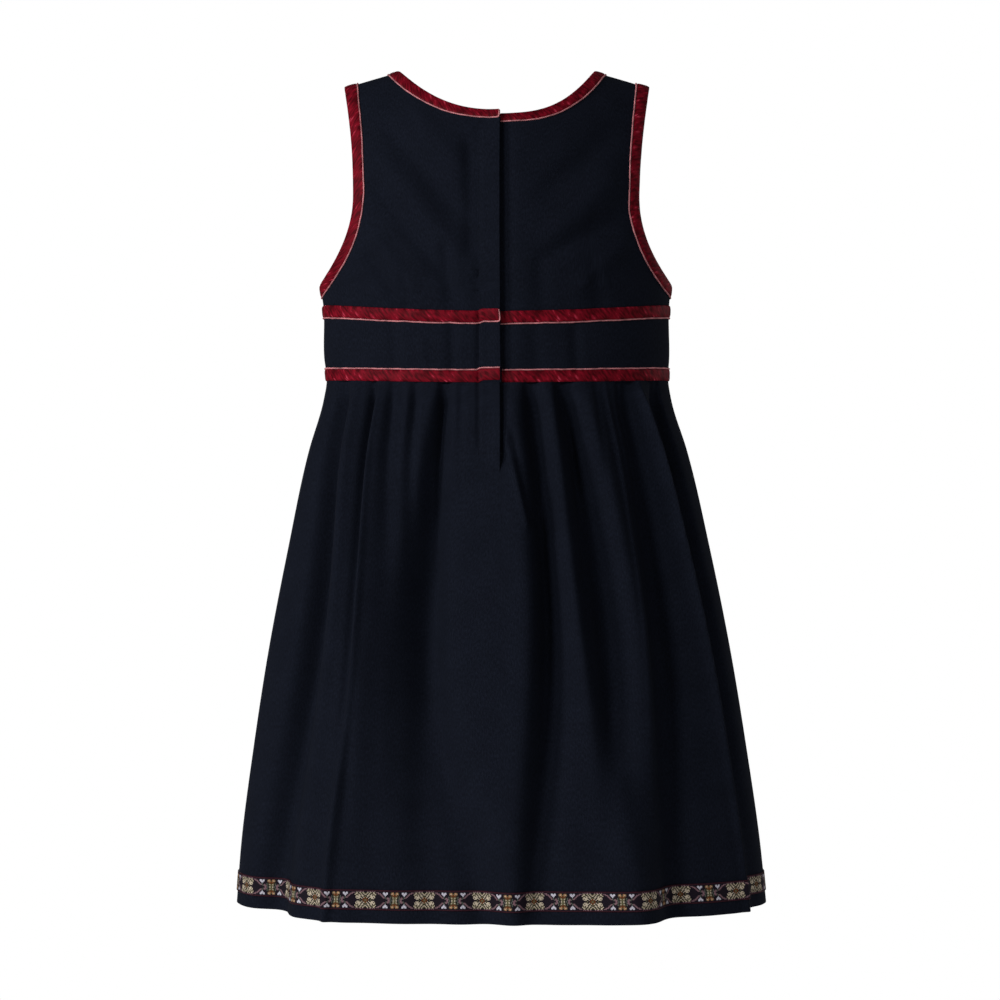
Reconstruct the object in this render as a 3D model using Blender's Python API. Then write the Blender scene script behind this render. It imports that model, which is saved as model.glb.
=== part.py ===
"""A child's sleeveless bunad dress, filled out and hollow, as the cloth pieces that a maker cuts and sews.

The dress hangs on its shoulders, and the origin lies between the inner ends of the shoulder seams.
-Y is the dress's back, +X its own right, +Z up. Sizes below are in millimetres, and each mesh is
made in metres.
"""

import math

import bpy
import numpy as np

MM = 0.001

# Walls and gaps
BODICE_WALL = 1.6
BAND_WALL = 1.8
SKIRT_WALL = 1.3
HALF_SEAM = 0.16
RIBBON_WALL = 0.9
RIBBON_LIFT = 0.55
PIPING_WALL = 1.2
PIPING_LIFT = 0.62
TRIM_WALL = 0.7
TRIM_LIFT = 0.5

# Heights of the seams at the sides, and how much lower each is at the centre back
BAND_TOP = -181.0
BAND_TOP_DIP = 8.0
BAND_BOTTOM = -241.0
BAND_BOTTOM_DIP = 3.5
HEM = -661.5
HEM_RISE = 5.2  # how much higher the hem hangs at the sides

# Shoulders, and each neckline's drop with the power of its curve
NECK_POINT = 6.0
NECK_HALF_WIDTH = 78.0
NECK_LEFT = (37.0, 2.35)
NECK_RIGHT = (40.0, 2.9)
NECK_FRONT = (74.0, 2.2)
SHOULDER_SLOPE = 0.31
NECK_ROUND = 40.0
SHOULDER_ROUND = 110.0
SHOULDER_ARC = 90.0
SHOULDER_CENTRE = -2.5

# Armholes: the angle of the edge round the oval, where 90 degrees is the side
UNDERARM = -165.0
UNDERARM_RISE = 68.0
UNDERARM_CURVE = 2.1
ARMHOLE_BACK = 52.6
ARMHOLE_FRONT = 49.0
SHOULDER_END = 59.6
FLARE_START = -100.0

# Centre back opening: the left half laps over the right half
LAP_EDGE = -0.4
LAP_WIDTH = 15.5
LAP_SINK = 3.4
LAP_SINK_RUN = 15.0
LAP_LIFT = 1.0
LAP_LIFT_RUN = 12.0
PLACKET_END = -300.0
PLACKET_FADE = 45.0

# Ribbons, piping and the woven hem band
RIBBON_WIDTH = 8.8
PIPING_START = 9.1
PIPING_END = 10.6
RIBBON_END_GAP = 1.2
TRIM_TOP = -636.5
TRIM_BOTTOM = -651.5

# The plain oval at each height
SECTION_COLUMNS = ("height", "half_width", "centre", "back_depth", "front_depth")
SECTIONS = (
    (40.0, 141.0, -2.5, 58.0, 60.0),
    (0.0, 141.0, -2.5, 66.0, 68.0),
    (-50.0, 141.0, -2.5, 77.0, 79.0),
    (-100.0, 141.0, -3.0, 83.0, 86.0),
    (-165.0, 140.0, -3.4, 82.0, 86.0),
    (-182.0, 138.2, -3.0, 79.0, 82.0),
    (-222.0, 138.0, -2.6, 77.0, 80.0),
    (-241.0, 136.6, -2.0, 77.0, 80.0),
    (-256.0, 139.0, -2.0, 80.0, 83.0),
    (-296.0, 151.0, -1.6, 88.0, 93.0),
    (-376.0, 168.8, -0.8, 97.0, 105.0),
    (-456.0, 184.4, -0.4, 104.0, 114.0),
    (-536.0, 197.0, 0.0, 110.0, 121.0),
    (-616.0, 207.6, 0.6, 116.0, 127.0),
    (-661.5, 211.5, 1.2, 119.0, 130.0),
)

# Skirt folds. Places are distances to the right of the dress's middle at the waist, half way down
# and at the hem. Depths are outwards at the same three heights, and widths are half widths there.
FOLD_HEIGHTS = (-241.0, -420.0, -661.5)
FOLD_COLUMNS = (
    "waist", "middle", "hem", "waist_depth", "middle_depth", "hem_depth", "waist_width", "middle_width", "hem_width",
)
BACK_FOLDS = (
    (-123.0, -144.0, -180.0, -9.0, -15.0, -15.0, 5.0, 9.5, 20.0),
    (-113.0, -128.0, -158.0, 4.0, 7.0, 6.0, 5.0, 9.0, 16.0),
    (-100.0, -112.0, -118.0, -9.0, -8.0, 1.0, 4.0, 5.0, 8.0),
    (-90.0, -105.0, -128.0, 6.0, 13.0, 9.0, 6.0, 14.0, 22.0),
    (-42.0, -62.0, -50.0, -10.0, -20.0, -8.0, 5.0, 17.0, 22.0),
    (-30.0, -56.0, -10.0, 0.0, -7.0, -13.0, 8.0, 14.0, 18.0),
    (2.0, 6.0, 4.0, 4.0, 5.0, 3.0, 18.0, 24.0, 20.0),
    (8.0, 21.0, 12.0, 3.0, 6.0, 3.0, 8.0, 12.0, 16.0),
    (25.0, 39.0, 28.0, -8.0, -15.0, -7.0, 6.0, 9.0, 17.0),
    (36.0, 57.0, 104.0, 6.0, 10.0, 12.0, 6.0, 10.0, 24.0),
    (48.0, 80.0, 80.0, -9.0, -12.0, 3.0, 6.0, 10.0, 14.0),
    (66.0, 102.0, 110.0, 5.0, 9.0, 3.0, 9.0, 10.0, 16.0),
    (99.0, 127.0, 141.0, -8.0, -12.0, -12.0, 7.0, 11.0, 20.0),
    (109.0, 149.0, 187.0, 6.0, 9.0, 6.0, 5.0, 9.0, 16.0),
    (120.0, 163.0, 199.0, -7.0, -9.0, -4.0, 5.0, 9.0, 14.0),
)
FRONT_FOLDS = (
    (-120.0, -146.0, -166.0, -5.0, -7.0, -11.0, 6.0, 12.0, 20.0),
    (-96.0, -112.0, -124.0, 4.0, 7.0, 12.0, 8.0, 14.0, 24.0),
    (-72.0, -84.0, -88.0, -6.0, -9.0, -10.0, 6.0, 12.0, 20.0),
    (-44.0, -50.0, -48.0, 3.0, 6.0, 9.0, 9.0, 16.0, 26.0),
    (-18.0, -14.0, -8.0, -5.0, -7.0, -8.0, 6.0, 11.0, 18.0),
    (8.0, 16.0, 30.0, 3.0, 6.0, 8.0, 8.0, 14.0, 24.0),
    (36.0, 48.0, 66.0, -6.0, -9.0, -11.0, 6.0, 12.0, 20.0),
    (62.0, 80.0, 98.0, 4.0, 6.0, 9.0, 8.0, 14.0, 22.0),
    (88.0, 112.0, 134.0, -6.0, -8.0, -10.0, 6.0, 12.0, 18.0),
    (116.0, 144.0, 168.0, 3.0, 5.0, 10.0, 7.0, 12.0, 20.0),
)
WAIST_SHARE = 0.3
WAIST_RAMP = 24.0

# How finely each piece is divided
BODICE_ROWS = (0, 0.055, 0.09, 0.105, 0.125, 0.16, 0.22, 0.3, 0.42, 0.57, 0.72, 0.84, 0.91, 0.96, 0.985, 1)
BODICE_COLUMNS = (0, 0.14, 0.27, 0.38, 0.46, 0.51, 0.54, 0.553, 0.65, 0.76, 0.88, 1)
BAND_COLUMNS = 12
BACK_ROWS = (0, 0.03, 0.07, 0.1, 0.137, 0.142, 0.19, 0.26, 0.34, 0.42, 0.51, 0.6, 0.69, 0.78, 0.86)
FRONT_ROWS = (0, 0.03, 0.07, 0.12, 0.19, 0.27, 0.36, 0.46, 0.57, 0.68, 0.79, 0.87)
SKIRT_COLUMNS = 37
FRONT_COLUMNS = 42
NECK_STEPS = 11
NECK_CROWDING = 1.9
ARMHOLE_STEPS = 18
ARMHOLE_CROWDING = 1.8

# Colours, as red, green and blue from 0 to 255, with a roughness
NAVY_WOOL = ("navy_wool", (18, 21, 30), 0.9)
RED_VELVET = ("red_velvet", (93, 20, 31), 0.75)
PINK_PIPING = ("pink_piping", (200, 130, 135), 0.6)
WOVEN_BAND = ("woven_band", (74, 62, 50), 0.7)


def clear_scene():
    for obj in list(bpy.data.objects):
        bpy.data.objects.remove(obj)


def linear(channel):
    """One sRGB channel from 0 to 255, as a linear value."""
    share = channel / 255
    return share / 12.92 if share <= 0.04045 else ((share + 0.055) / 1.055) ** 2.4


def material(spec):
    name, colour, roughness = spec
    made = bpy.data.materials.get(name)
    if made:
        return made
    made = bpy.data.materials.new(name)
    made.use_nodes = True
    shader = made.node_tree.nodes["Principled BSDF"]
    shader.inputs["Base Color"].default_value = (*map(linear, colour), 1)
    shader.inputs["Roughness"].default_value = roughness
    made.diffuse_color = shader.inputs["Base Color"].default_value
    return made


def ease(share):
    """0 to 1 with level ends."""
    share = np.clip(share, 0, 1)
    return share * share * (3 - 2 * share)


def through(knots, values, at):
    """A smooth curve through values at knots that fall or rise steadily."""
    knots = np.asarray(knots, float)
    values = np.asarray(values, float)
    if knots[0] > knots[-1]:
        knots, values = knots[::-1], values[::-1]
    slopes = np.gradient(values, knots)
    at = np.clip(at, knots[0], knots[-1])
    left = np.clip(np.searchsorted(knots, at, side="right") - 1, 0, len(knots) - 2)
    span = knots[left + 1] - knots[left]
    t = (at - knots[left]) / span
    return (
        (2 * t**3 - 3 * t**2 + 1) * values[left]
        + (t**3 - 2 * t**2 + t) * span * slopes[left]
        + (3 * t**2 - 2 * t**3) * values[left + 1]
        + (t**3 - t**2) * span * slopes[left + 1]
    )


def section(column, height):
    at = SECTION_COLUMNS.index(column)
    return through([row[0] for row in SECTIONS], [row[at] for row in SECTIONS], height)


def oval(angle, height):
    """The plain oval: angle 0 is the centre back, and a quarter turn is the dress's right side."""
    depth = np.where(np.cos(angle) >= 0, section("back_depth", height), section("front_depth", height))
    across = section("centre", height) + section("half_width", height) * np.sin(angle)
    return across, -depth * np.cos(angle)


def angle_at(across, height):
    """The back angle at which the oval has this place across."""
    share = (across - section("centre", height)) / section("half_width", height)
    return np.arcsin(np.clip(share, -1, 1))


def trunk(angle, drop):
    """The waistband's surface, a distance below the origin."""
    angle, drop = np.broadcast_arrays(angle, drop)
    across, back = oval(angle, -drop)
    return np.stack([across, back, -drop], axis=-1)


def shoulder_height(across):
    """The shoulder line, carried on over the neck as a smooth curve."""
    away = np.hypot(across - SHOULDER_CENTRE, NECK_ROUND) - math.hypot(NECK_HALF_WIDTH, NECK_ROUND)
    return NECK_POINT - SHOULDER_SLOPE * away


def neck_height(across, neckline):
    """The top edge of a bodice piece: its neckline between the neck points, and the shoulder line beyond."""
    drop, power = neckline
    share = np.clip(np.abs(across - SHOULDER_CENTRE) / NECK_HALF_WIDTH, 0, 1)
    scoop = NECK_POINT - drop * (1 - share**power)
    return np.where(share < 1, scoop, shoulder_height(across))


def bodice(angle, run):
    """The bodice's surface, where run is the way down from the shoulder line.

    The first quarter turn of run rounds the shoulder over, from front to back, and the rest is
    straight down. A negative run is on the other side of the shoulder line.
    """
    angle, run = np.broadcast_arrays(angle, run)
    turn = np.clip(run / SHOULDER_ARC, -math.pi / 2, math.pi / 2)
    fall = SHOULDER_ROUND * (1 - np.cos(turn)) + np.maximum(run - SHOULDER_ARC * math.pi / 2, 0)
    height = shoulder_height(shoulder_place(angle)) - fall
    across, back = oval(angle, height)
    return np.stack([across, back * np.sin(turn), height], axis=-1)


def bodice_run(angle, height):
    """The run at which the bodice has this height."""
    fall = shoulder_height(shoulder_place(angle)) - height
    turn = np.arccos(np.clip(1 - fall / SHOULDER_ROUND, 0, 1))
    return SHOULDER_ARC * turn + np.maximum(fall - SHOULDER_ROUND, 0)


def fold_table(folds, front):
    """Each fold's angles, depths and widths at the three fold heights."""
    table = []
    for fold in folds:
        places = np.array(fold[0:3])
        angles = np.array([float(angle_at(place, height)) for place, height in zip(places, FOLD_HEIGHTS)])
        if front:
            angles = math.pi - angles
        table.append((angles, np.array(fold[3:6]), np.array(fold[6:9])))
    return table


def fold_shift(angle, height):
    """How far the folds move the skirt outwards."""
    half_width = section("half_width", height)
    depth = section("back_depth", height)
    shift = np.zeros(np.shape(angle))
    for angles, depths, widths in ALL_FOLDS:
        middle = through(FOLD_HEIGHTS, angles, height)
        away = (angle - middle + math.pi) % (2 * math.pi) - math.pi
        pace = np.hypot(half_width * np.cos(middle), depth * np.sin(middle))
        share = away * pace / through(FOLD_HEIGHTS, widths, height)
        shift += through(FOLD_HEIGHTS, depths, height) * np.exp(-share * share)
    ramp = WAIST_SHARE + (1 - WAIST_SHARE) * ease((BAND_BOTTOM - height) / WAIST_RAMP)
    return shift * ramp


def skirt(angle, drop):
    """The skirt's surface, a distance below the origin."""
    angle, drop = np.broadcast_arrays(angle, drop)
    height = -drop
    across, back = oval(angle, height)
    half_width = section("half_width", height)
    depth = np.where(np.cos(angle) >= 0, section("back_depth", height), section("front_depth", height))
    out = np.stack([np.sin(angle) / half_width, -np.cos(angle) / depth], axis=-1)
    out /= np.linalg.norm(out, axis=-1, keepdims=True)
    shift = fold_shift(angle, height)
    share = np.clip((BAND_BOTTOM - height) / (BAND_BOTTOM - HEM), 0, 1)
    rise = HEM_RISE * np.abs(np.sin(angle)) ** 3 * share**2
    return np.stack([across + out[..., 0] * shift, back + out[..., 1] * shift, height + rise], axis=-1)


def placket_share(height):
    """1 where the centre back is open, fading to 0 in the seam below it."""
    return ease(1 - (PLACKET_END - height) / PLACKET_FADE)


def lapped(surface, over):
    """The surface near the centre back opening: the upper half lifts at its edge, the lower one sinks."""

    def shaped(angle, run):
        points = surface(angle, run)
        beyond = points[..., 0] - LAP_EDGE
        if over:
            change = -LAP_LIFT * ease(1 + beyond / LAP_LIFT_RUN)
        else:
            change = LAP_SINK * ease(1 - (beyond - 1) / LAP_SINK_RUN)
        back_only = np.cos(angle) > 0
        points[..., 1] += np.where(back_only, change * placket_share(points[..., 2]), 0)
        return points

    return shaped


def slopes(surface, angle, run):
    """How the surface moves for a radian of angle and for a millimetre of run."""
    turn, step = 1e-4, 0.01
    across = (surface(angle + turn, run) - surface(angle - turn, run)) / (2 * turn)
    down = (surface(angle, run + step) - surface(angle, run - step)) / (2 * step)
    return across, down


def outward(surface, angle, run):
    across, down = slopes(surface, angle, run)
    normal = np.cross(down, across)
    return normal / np.linalg.norm(normal, axis=-1, keepdims=True)


def wall(name, spec, surface, angle, run, thickness, lift=0.0):
    """One closed cloth wall over a grid of angles and runs, lift being its inner face's height when
    it lies on another piece, and 0 when it is a panel whose outer face is the surface."""
    normal = outward(surface, angle, run)
    points = surface(angle, run)
    outer = points + normal * (lift + thickness if lift else 0)
    inner = outer - normal * thickness
    rows, columns = angle.shape
    vertices = np.concatenate([outer.reshape(-1, 3), inner.reshape(-1, 3)]) * MM
    at = np.arange(rows * columns).reshape(rows, columns)
    deep = at + rows * columns
    faces = []
    for i in range(rows - 1):
        for j in range(columns - 1):
            corners = (at[i, j], at[i + 1, j], at[i + 1, j + 1], at[i, j + 1])
            faces.append(corners)
            faces.append(tuple(c + rows * columns for c in reversed(corners)))
    rim = [*at[0, :-1], *at[:-1, -1], *at[-1, :0:-1], *at[:0:-1, 0]]
    for here, then in zip(rim, rim[1:] + rim[:1]):
        faces.append((here, then, then + rows * columns, here + rows * columns))
    mesh = bpy.data.meshes.new(name)
    mesh.from_pydata(vertices.tolist(), [], [tuple(map(int, face)) for face in faces])
    mesh.validate()
    mesh.shade_smooth()
    mesh.set_sharp_from_angle(angle=math.radians(40))
    mesh.materials.append(material(spec))
    obj = bpy.data.objects.new(name, mesh)
    bpy.context.collection.objects.link(obj)
    return obj


def armhole_angle(height, middle):
    """The armhole edge's angle from the centre, in radians."""
    share = np.clip((height - UNDERARM) / UNDERARM_RISE, 0, 1)
    round_off = 1 - (1 - (1 - share) ** UNDERARM_CURVE) ** (1 / UNDERARM_CURVE)
    top = shoulder_height(shoulder_place(math.radians(SHOULDER_END)))
    flare = np.clip((height - FLARE_START) / (top - FLARE_START), 0, 1) ** 2
    return np.radians(middle + (90 - middle) * round_off + (SHOULDER_END - middle) * flare)


def band_height(angle, side, dip):
    return side - dip * np.clip(np.cos(angle), 0, 1) ** 2


def side_angle(height):
    """The side's angle, less half a seam's gap."""
    return math.pi / 2 - HALF_SEAM / float(section("back_depth", height))


def shoulder_place(angle):
    """The place across of a shoulder point at this angle."""
    return SHOULDER_CENTRE + section("half_width", 0.0) * np.sin(angle)


def bodice_half(side, inner_edge, neckline):
    """Angles and runs of a back half: side is -1 for left, and inner_edge its edge's place across."""
    top_out = math.radians(SHOULDER_END)
    end_height = shoulder_height(shoulder_place(top_out))
    share = np.array(BODICE_COLUMNS)
    angles, runs = [], []
    for v in reversed(BODICE_ROWS):
        outer_height = BAND_TOP + v * (end_height - BAND_TOP)
        outer = min(float(armhole_angle(outer_height, ARMHOLE_BACK)), side_angle(BAND_TOP))
        inner = float(angle_at(inner_edge, outer_height)) * side
        angle = side * (inner + share * (outer - inner))
        inner_top = float(angle_at(inner_edge, 0.0)) * side
        top = side * (inner_top + share * (top_out - inner_top))
        low = side * (inner_top + share * (math.pi / 2 - inner_top))
        bottom_height = band_height(low, BAND_TOP, BAND_TOP_DIP) + HALF_SEAM
        top_height = neck_height(shoulder_place(top), neckline)
        height = bottom_height + v * (top_height - bottom_height)
        angle = top if v == 1 else angle
        angles.append(angle[::side])
        runs.append(np.maximum(bodice_run(angle, height), 2 * HALF_SEAM)[::side])
    return np.array(angles), np.array(runs)


def bodice_front():
    """Angles and runs of the front, from its right side to its left."""
    top_out = math.radians(SHOULDER_END)
    end_height = shoulder_height(shoulder_place(top_out))
    share = np.array([-s for s in BODICE_COLUMNS[:0:-1]] + list(BODICE_COLUMNS))
    angles, runs = [], []
    for v in reversed(BODICE_ROWS):
        outer_height = BAND_TOP + v * (end_height - BAND_TOP)
        outer = min(float(armhole_angle(outer_height, ARMHOLE_FRONT)), side_angle(BAND_TOP))
        angle = math.pi + share * outer
        top = math.pi + share * top_out
        top_height = neck_height(shoulder_place(top), NECK_FRONT)
        bottom_height = BAND_TOP + HALF_SEAM
        height = bottom_height + v * (top_height - bottom_height)
        angle = top if v == 1 else angle
        angles.append(angle)
        runs.append(np.maximum(bodice_run(angle, height), 2 * HALF_SEAM))
    return np.array(angles), np.array(runs)


def inset(surface, angle, run, distance, side):
    """Angles and runs at a distance inside an edge, side being 1 where the piece is on the left of travel."""
    across, down = slopes(surface, angle, run)
    normal = np.cross(down, across)
    travel = np.gradient(surface(angle, run), axis=0)
    inward = side * np.cross(normal, travel)
    inward *= distance / np.linalg.norm(inward, axis=-1, keepdims=True)
    aa = (across * across).sum(axis=-1)
    ad = (across * down).sum(axis=-1)
    dd = (down * down).sum(axis=-1)
    ai = (across * inward).sum(axis=-1)
    di = (down * inward).sum(axis=-1)
    whole = aa * dd - ad * ad
    return angle + (ai * dd - di * ad) / whole, run + (di * aa - ai * ad) / whole


def edging(name, surface, angle, run, side):
    """The velvet ribbon along an edge, and the piping beside it."""
    for suffix, spec, start, end, thickness, lift in (
        ("ribbon", RED_VELVET, 0.0, RIBBON_WIDTH, RIBBON_WALL, RIBBON_LIFT),
        ("piping", PINK_PIPING, PIPING_START, PIPING_END, PIPING_WALL, PIPING_LIFT),
    ):
        near = inset(surface, angle, run, start, side)
        far = inset(surface, angle, run, end, side)
        grid = [np.array(pair) for pair in zip(near, far)]
        if side > 0:
            grid = [pair[::-1] for pair in grid]
        wall(f"{name}_{suffix}", spec, surface, *grid, thickness, lift)


def neck_edge(start, side, neckline, front=False):
    """Angles and runs along a neckline, from a place across to the neck point of a side."""
    share = 1 - np.linspace(1, 0, NECK_STEPS + 1) ** NECK_CROWDING
    across = start + share * (SHOULDER_CENTRE + side * NECK_HALF_WIDTH - start)
    if front:
        across = np.concatenate([2 * start - across[:0:-1], across])
    angle = np.arcsin((across - SHOULDER_CENTRE) / section("half_width", 0.0))
    if front:
        angle = math.pi - angle
    run = bodice_run(angle, neck_height(across, neckline))
    return angle, np.maximum(run, 2 * HALF_SEAM)


def armhole_edge(side):
    """Angles and runs round an armhole, from the back of the shoulder seam to its front."""
    end = shoulder_place(side * math.radians(SHOULDER_END))
    fall = SHOULDER_ROUND * (1 - np.cos(np.linspace(0, math.pi / 2, ARMHOLE_STEPS)))
    straight = shoulder_height(end) - SHOULDER_ROUND - UNDERARM
    rise = np.linspace(1, 0, ARMHOLE_STEPS // 2) ** ARMHOLE_CROWDING
    height = np.concatenate([shoulder_height(end) - fall[:-1], UNDERARM + rise * straight])
    back = armhole_angle(height, ARMHOLE_BACK)
    front = math.pi - armhole_angle(height, ARMHOLE_FRONT)
    angle = np.concatenate([back, front[-2::-1]]) * side
    height = np.concatenate([height, height[-2::-1]])
    run = np.maximum(bodice_run(angle, height), 2 * HALF_SEAM)
    return angle, run


def band_top(angle):
    return band_height(angle, BAND_TOP, BAND_TOP_DIP)


def band_bottom(angle):
    return band_height(angle, BAND_BOTTOM, BAND_BOTTOM_DIP)


def band_grid(angle, insets):
    """Angles and drops of rows that lie at these distances below the band's top edge, or, where
    negative, above its bottom edge."""
    rows = [band_top(angle) - inset if inset > 0 else band_bottom(angle) - inset for inset in insets]
    return np.array([angle] * len(rows)), -np.array(rows)


def band_pieces(part, surface, angle, ribbon_angle):
    """One stretch of the waistband, with a ribbon and piping along each of its edges."""
    ribbon = (HALF_SEAM, RIBBON_WIDTH)
    piping = (PIPING_START, PIPING_END)
    upper = (*ribbon, *piping)
    lower = tuple(-inset for inset in reversed(upper))
    wall(f"waistband_{part}", NAVY_WOOL, surface, *band_grid(angle, upper + lower), BAND_WALL)
    for place, insets in (("upper", upper), ("lower", lower[::-1])):
        for suffix, spec, pair, thickness, lift in (
            ("ribbon", RED_VELVET, insets[0:2], RIBBON_WALL, RIBBON_LIFT),
            ("piping", PINK_PIPING, insets[2:4], PIPING_WALL, PIPING_LIFT),
        ):
            downwards = sorted(pair, key=abs, reverse=pair[0] < 0)
            grid = band_grid(ribbon_angle, downwards)
            wall(f"waist_{place}_{part}_{suffix}", spec, surface, *grid, thickness, lift)


def skirt_grid(first, last, columns, rows):
    """Angles and drops of a stretch of skirt, first and last being functions of the height. Rows are
    shares of the way down, to which the woven band's edges and the hem are added."""
    trim = [(BAND_BOTTOM - height) / (BAND_BOTTOM - HEM) for height in (TRIM_TOP, TRIM_BOTTOM)]
    angles, drops = [], []
    for v in (*rows, *trim, 1.0):
        height = BAND_BOTTOM + v * (HEM - BAND_BOTTOM)
        angle = np.linspace(first(height), last(height), columns + 1)
        top = band_bottom(angle) - HALF_SEAM
        angles.append(angle)
        drops.append(-(top + v * (HEM - top)))
    return np.array(angles), np.array(drops)


def skirt_pieces(part, surface, first, last, columns, rows):
    """One stretch of skirt with the woven band above its hem."""
    angle, drop = skirt_grid(first, last, columns, rows)
    wall(f"skirt_{part}", NAVY_WOOL, surface, angle, drop, SKIRT_WALL)
    wall(f"hem_band_{part}", WOVEN_BAND, surface, angle[-3:-1], drop[-3:-1], TRIM_WALL, TRIM_LIFT)


def underlap_edge(height):
    """Where the right half of the skirt starts: under the lap as far as the placket's end."""
    open_here = height >= PLACKET_END
    across = LAP_EDGE - LAP_WIDTH if open_here else LAP_EDGE + HALF_SEAM
    return float(angle_at(across, height))


def main():
    clear_scene()
    over, under = lapped(bodice, True), lapped(bodice, False)
    underlap = LAP_EDGE - LAP_WIDTH
    quarter = side_angle(BAND_TOP)

    wall("bodice_back_left", NAVY_WOOL, over, *bodice_half(-1, LAP_EDGE, NECK_LEFT), BODICE_WALL)
    wall("bodice_back_right", NAVY_WOOL, under, *bodice_half(1, underlap, NECK_RIGHT), BODICE_WALL)
    wall("bodice_front", NAVY_WOOL, bodice, *bodice_front(), BODICE_WALL)

    edging("neck_back_left", over, *neck_edge(LAP_EDGE - RIBBON_END_GAP, -1, NECK_LEFT), 1)
    edging("neck_back_right", under, *neck_edge(LAP_EDGE + RIBBON_END_GAP, 1, NECK_RIGHT), -1)
    edging("neck_front", bodice, *neck_edge(SHOULDER_CENTRE, 1, NECK_FRONT, front=True), 1)
    for name, side in (("left", -1), ("right", 1)):
        edging(f"armhole_{name}", bodice, *armhole_edge(side), -side)

    over, under = lapped(trunk, True), lapped(trunk, False)
    lap_angle = float(angle_at(LAP_EDGE, BAND_TOP))
    underlap_angle = float(angle_at(underlap, BAND_TOP))
    ribbon_left = float(angle_at(LAP_EDGE - RIBBON_END_GAP, BAND_TOP))
    ribbon_right = float(angle_at(LAP_EDGE + RIBBON_END_GAP, BAND_TOP))
    left = np.linspace(-quarter, ribbon_left, BAND_COLUMNS + 1)
    right = np.linspace(ribbon_right, quarter, BAND_COLUMNS + 1)
    front = np.linspace(math.pi - quarter, math.pi + quarter, 2 * BAND_COLUMNS + 1)
    band_pieces("back_left", over, np.array([*left, lap_angle]), left)
    band_pieces("back_right", under, np.array([underlap_angle, *right]), right)
    band_pieces("front", trunk, front, front)

    over, under = lapped(skirt, True), lapped(skirt, False)
    skirt_pieces(
        "back_left", over,
        lambda height: -side_angle(height), lambda height: float(angle_at(LAP_EDGE - HALF_SEAM, height)),
        SKIRT_COLUMNS, BACK_ROWS,
    )
    skirt_pieces("back_right", under, underlap_edge, side_angle, SKIRT_COLUMNS, BACK_ROWS)
    skirt_pieces(
        "front", skirt,
        lambda height: math.pi - side_angle(height), lambda height: math.pi + side_angle(height),
        FRONT_COLUMNS, FRONT_ROWS,
    )


ALL_FOLDS = fold_table(BACK_FOLDS, False) + fold_table(FRONT_FOLDS, True)

main()
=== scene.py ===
"""The finished look of a child's sleeveless bunad dress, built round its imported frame.

-Y is the dress's back, +X its own right, +Z up. Sizes below are in millimetres unless a name says
otherwise, and each mesh is made in metres. The cloth follows the same ovals and folds as the frame's
solids, with finer creases, crushed velvet, corded piping, a woven band and stitching on it.
"""

import math

import bpy
import numpy as np
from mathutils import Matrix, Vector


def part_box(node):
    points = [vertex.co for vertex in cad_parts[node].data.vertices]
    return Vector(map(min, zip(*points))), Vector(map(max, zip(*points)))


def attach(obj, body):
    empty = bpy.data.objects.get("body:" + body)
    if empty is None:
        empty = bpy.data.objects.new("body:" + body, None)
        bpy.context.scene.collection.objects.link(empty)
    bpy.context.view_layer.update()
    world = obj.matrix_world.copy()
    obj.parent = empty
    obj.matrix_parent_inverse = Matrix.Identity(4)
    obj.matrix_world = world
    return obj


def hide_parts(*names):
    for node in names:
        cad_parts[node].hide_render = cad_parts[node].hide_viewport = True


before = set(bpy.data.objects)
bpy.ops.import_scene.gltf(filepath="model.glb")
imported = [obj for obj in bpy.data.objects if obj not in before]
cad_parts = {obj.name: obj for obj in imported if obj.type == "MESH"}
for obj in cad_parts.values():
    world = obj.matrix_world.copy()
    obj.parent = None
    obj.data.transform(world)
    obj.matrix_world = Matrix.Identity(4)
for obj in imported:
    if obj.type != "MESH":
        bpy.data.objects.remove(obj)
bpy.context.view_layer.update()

bl_info = {
    "name": "Bunad Dress",
    "version": (1, 0, 0),
    "blender": (4, 5, 0),
    "location": "3D View > Sidebar > Bunad Dress",
    "description": "Builds a child's bunad dress with its wool, velvet ribbons, woven band and stitching",
    "category": "Add Mesh",
}

MM = 0.001
BODY = "root"

# Walls, and how high each trimming lies over the cloth
BODICE_WALL = 1.6
BAND_WALL = 1.8
SKIRT_WALL = 1.3
HALF_SEAM = 0.16
RIBBON_FOOT = 0.08
RIBBON_EDGE = 0.75
RIBBON_CROWN = 0.6
TRIM_FOOT = 0.1
TRIM_WALL = 0.8

# Heights of the seams at the sides, and how much lower each is at the centre back
BAND_TOP = -181.0
BAND_TOP_DIP = 8.0
BAND_BOTTOM = -241.0
BAND_BOTTOM_DIP = 3.5
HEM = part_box("skirt_front")[0][2] / MM
HEM_RISE = 5.2  # how much higher the hem hangs at the sides

# Shoulders, and each neckline's drop with the power of its curve
NECK_POINT = 6.0
NECK_HALF_WIDTH = 78.0
NECK_LEFT = (37.0, 2.35)
NECK_RIGHT = (40.0, 2.9)
NECK_FRONT = (74.0, 2.2)
SHOULDER_SLOPE = 0.31
NECK_ROUND = 40.0
SHOULDER_ROUND = 110.0
SHOULDER_ARC = 90.0
SHOULDER_CENTRE = -2.5

# Armholes: the angle of the edge round the oval, where 90 degrees is the side
UNDERARM = -165.0
UNDERARM_RISE = 68.0
UNDERARM_CURVE = 2.1
ARMHOLE_BACK = 52.6
ARMHOLE_FRONT = 49.0
SHOULDER_END = 59.6
FLARE_START = -100.0

# Centre back opening: the left half laps over the right half
LAP_EDGE = -0.4
LAP_WIDTH = 15.5
LAP_SINK = 2.6
LAP_SINK_RUN = 15.0
LAP_LIFT = 3.0
LAP_LIFT_RUN = 12.0
PLACKET_END = -300.0
PLACKET_FADE = 16.0

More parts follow.
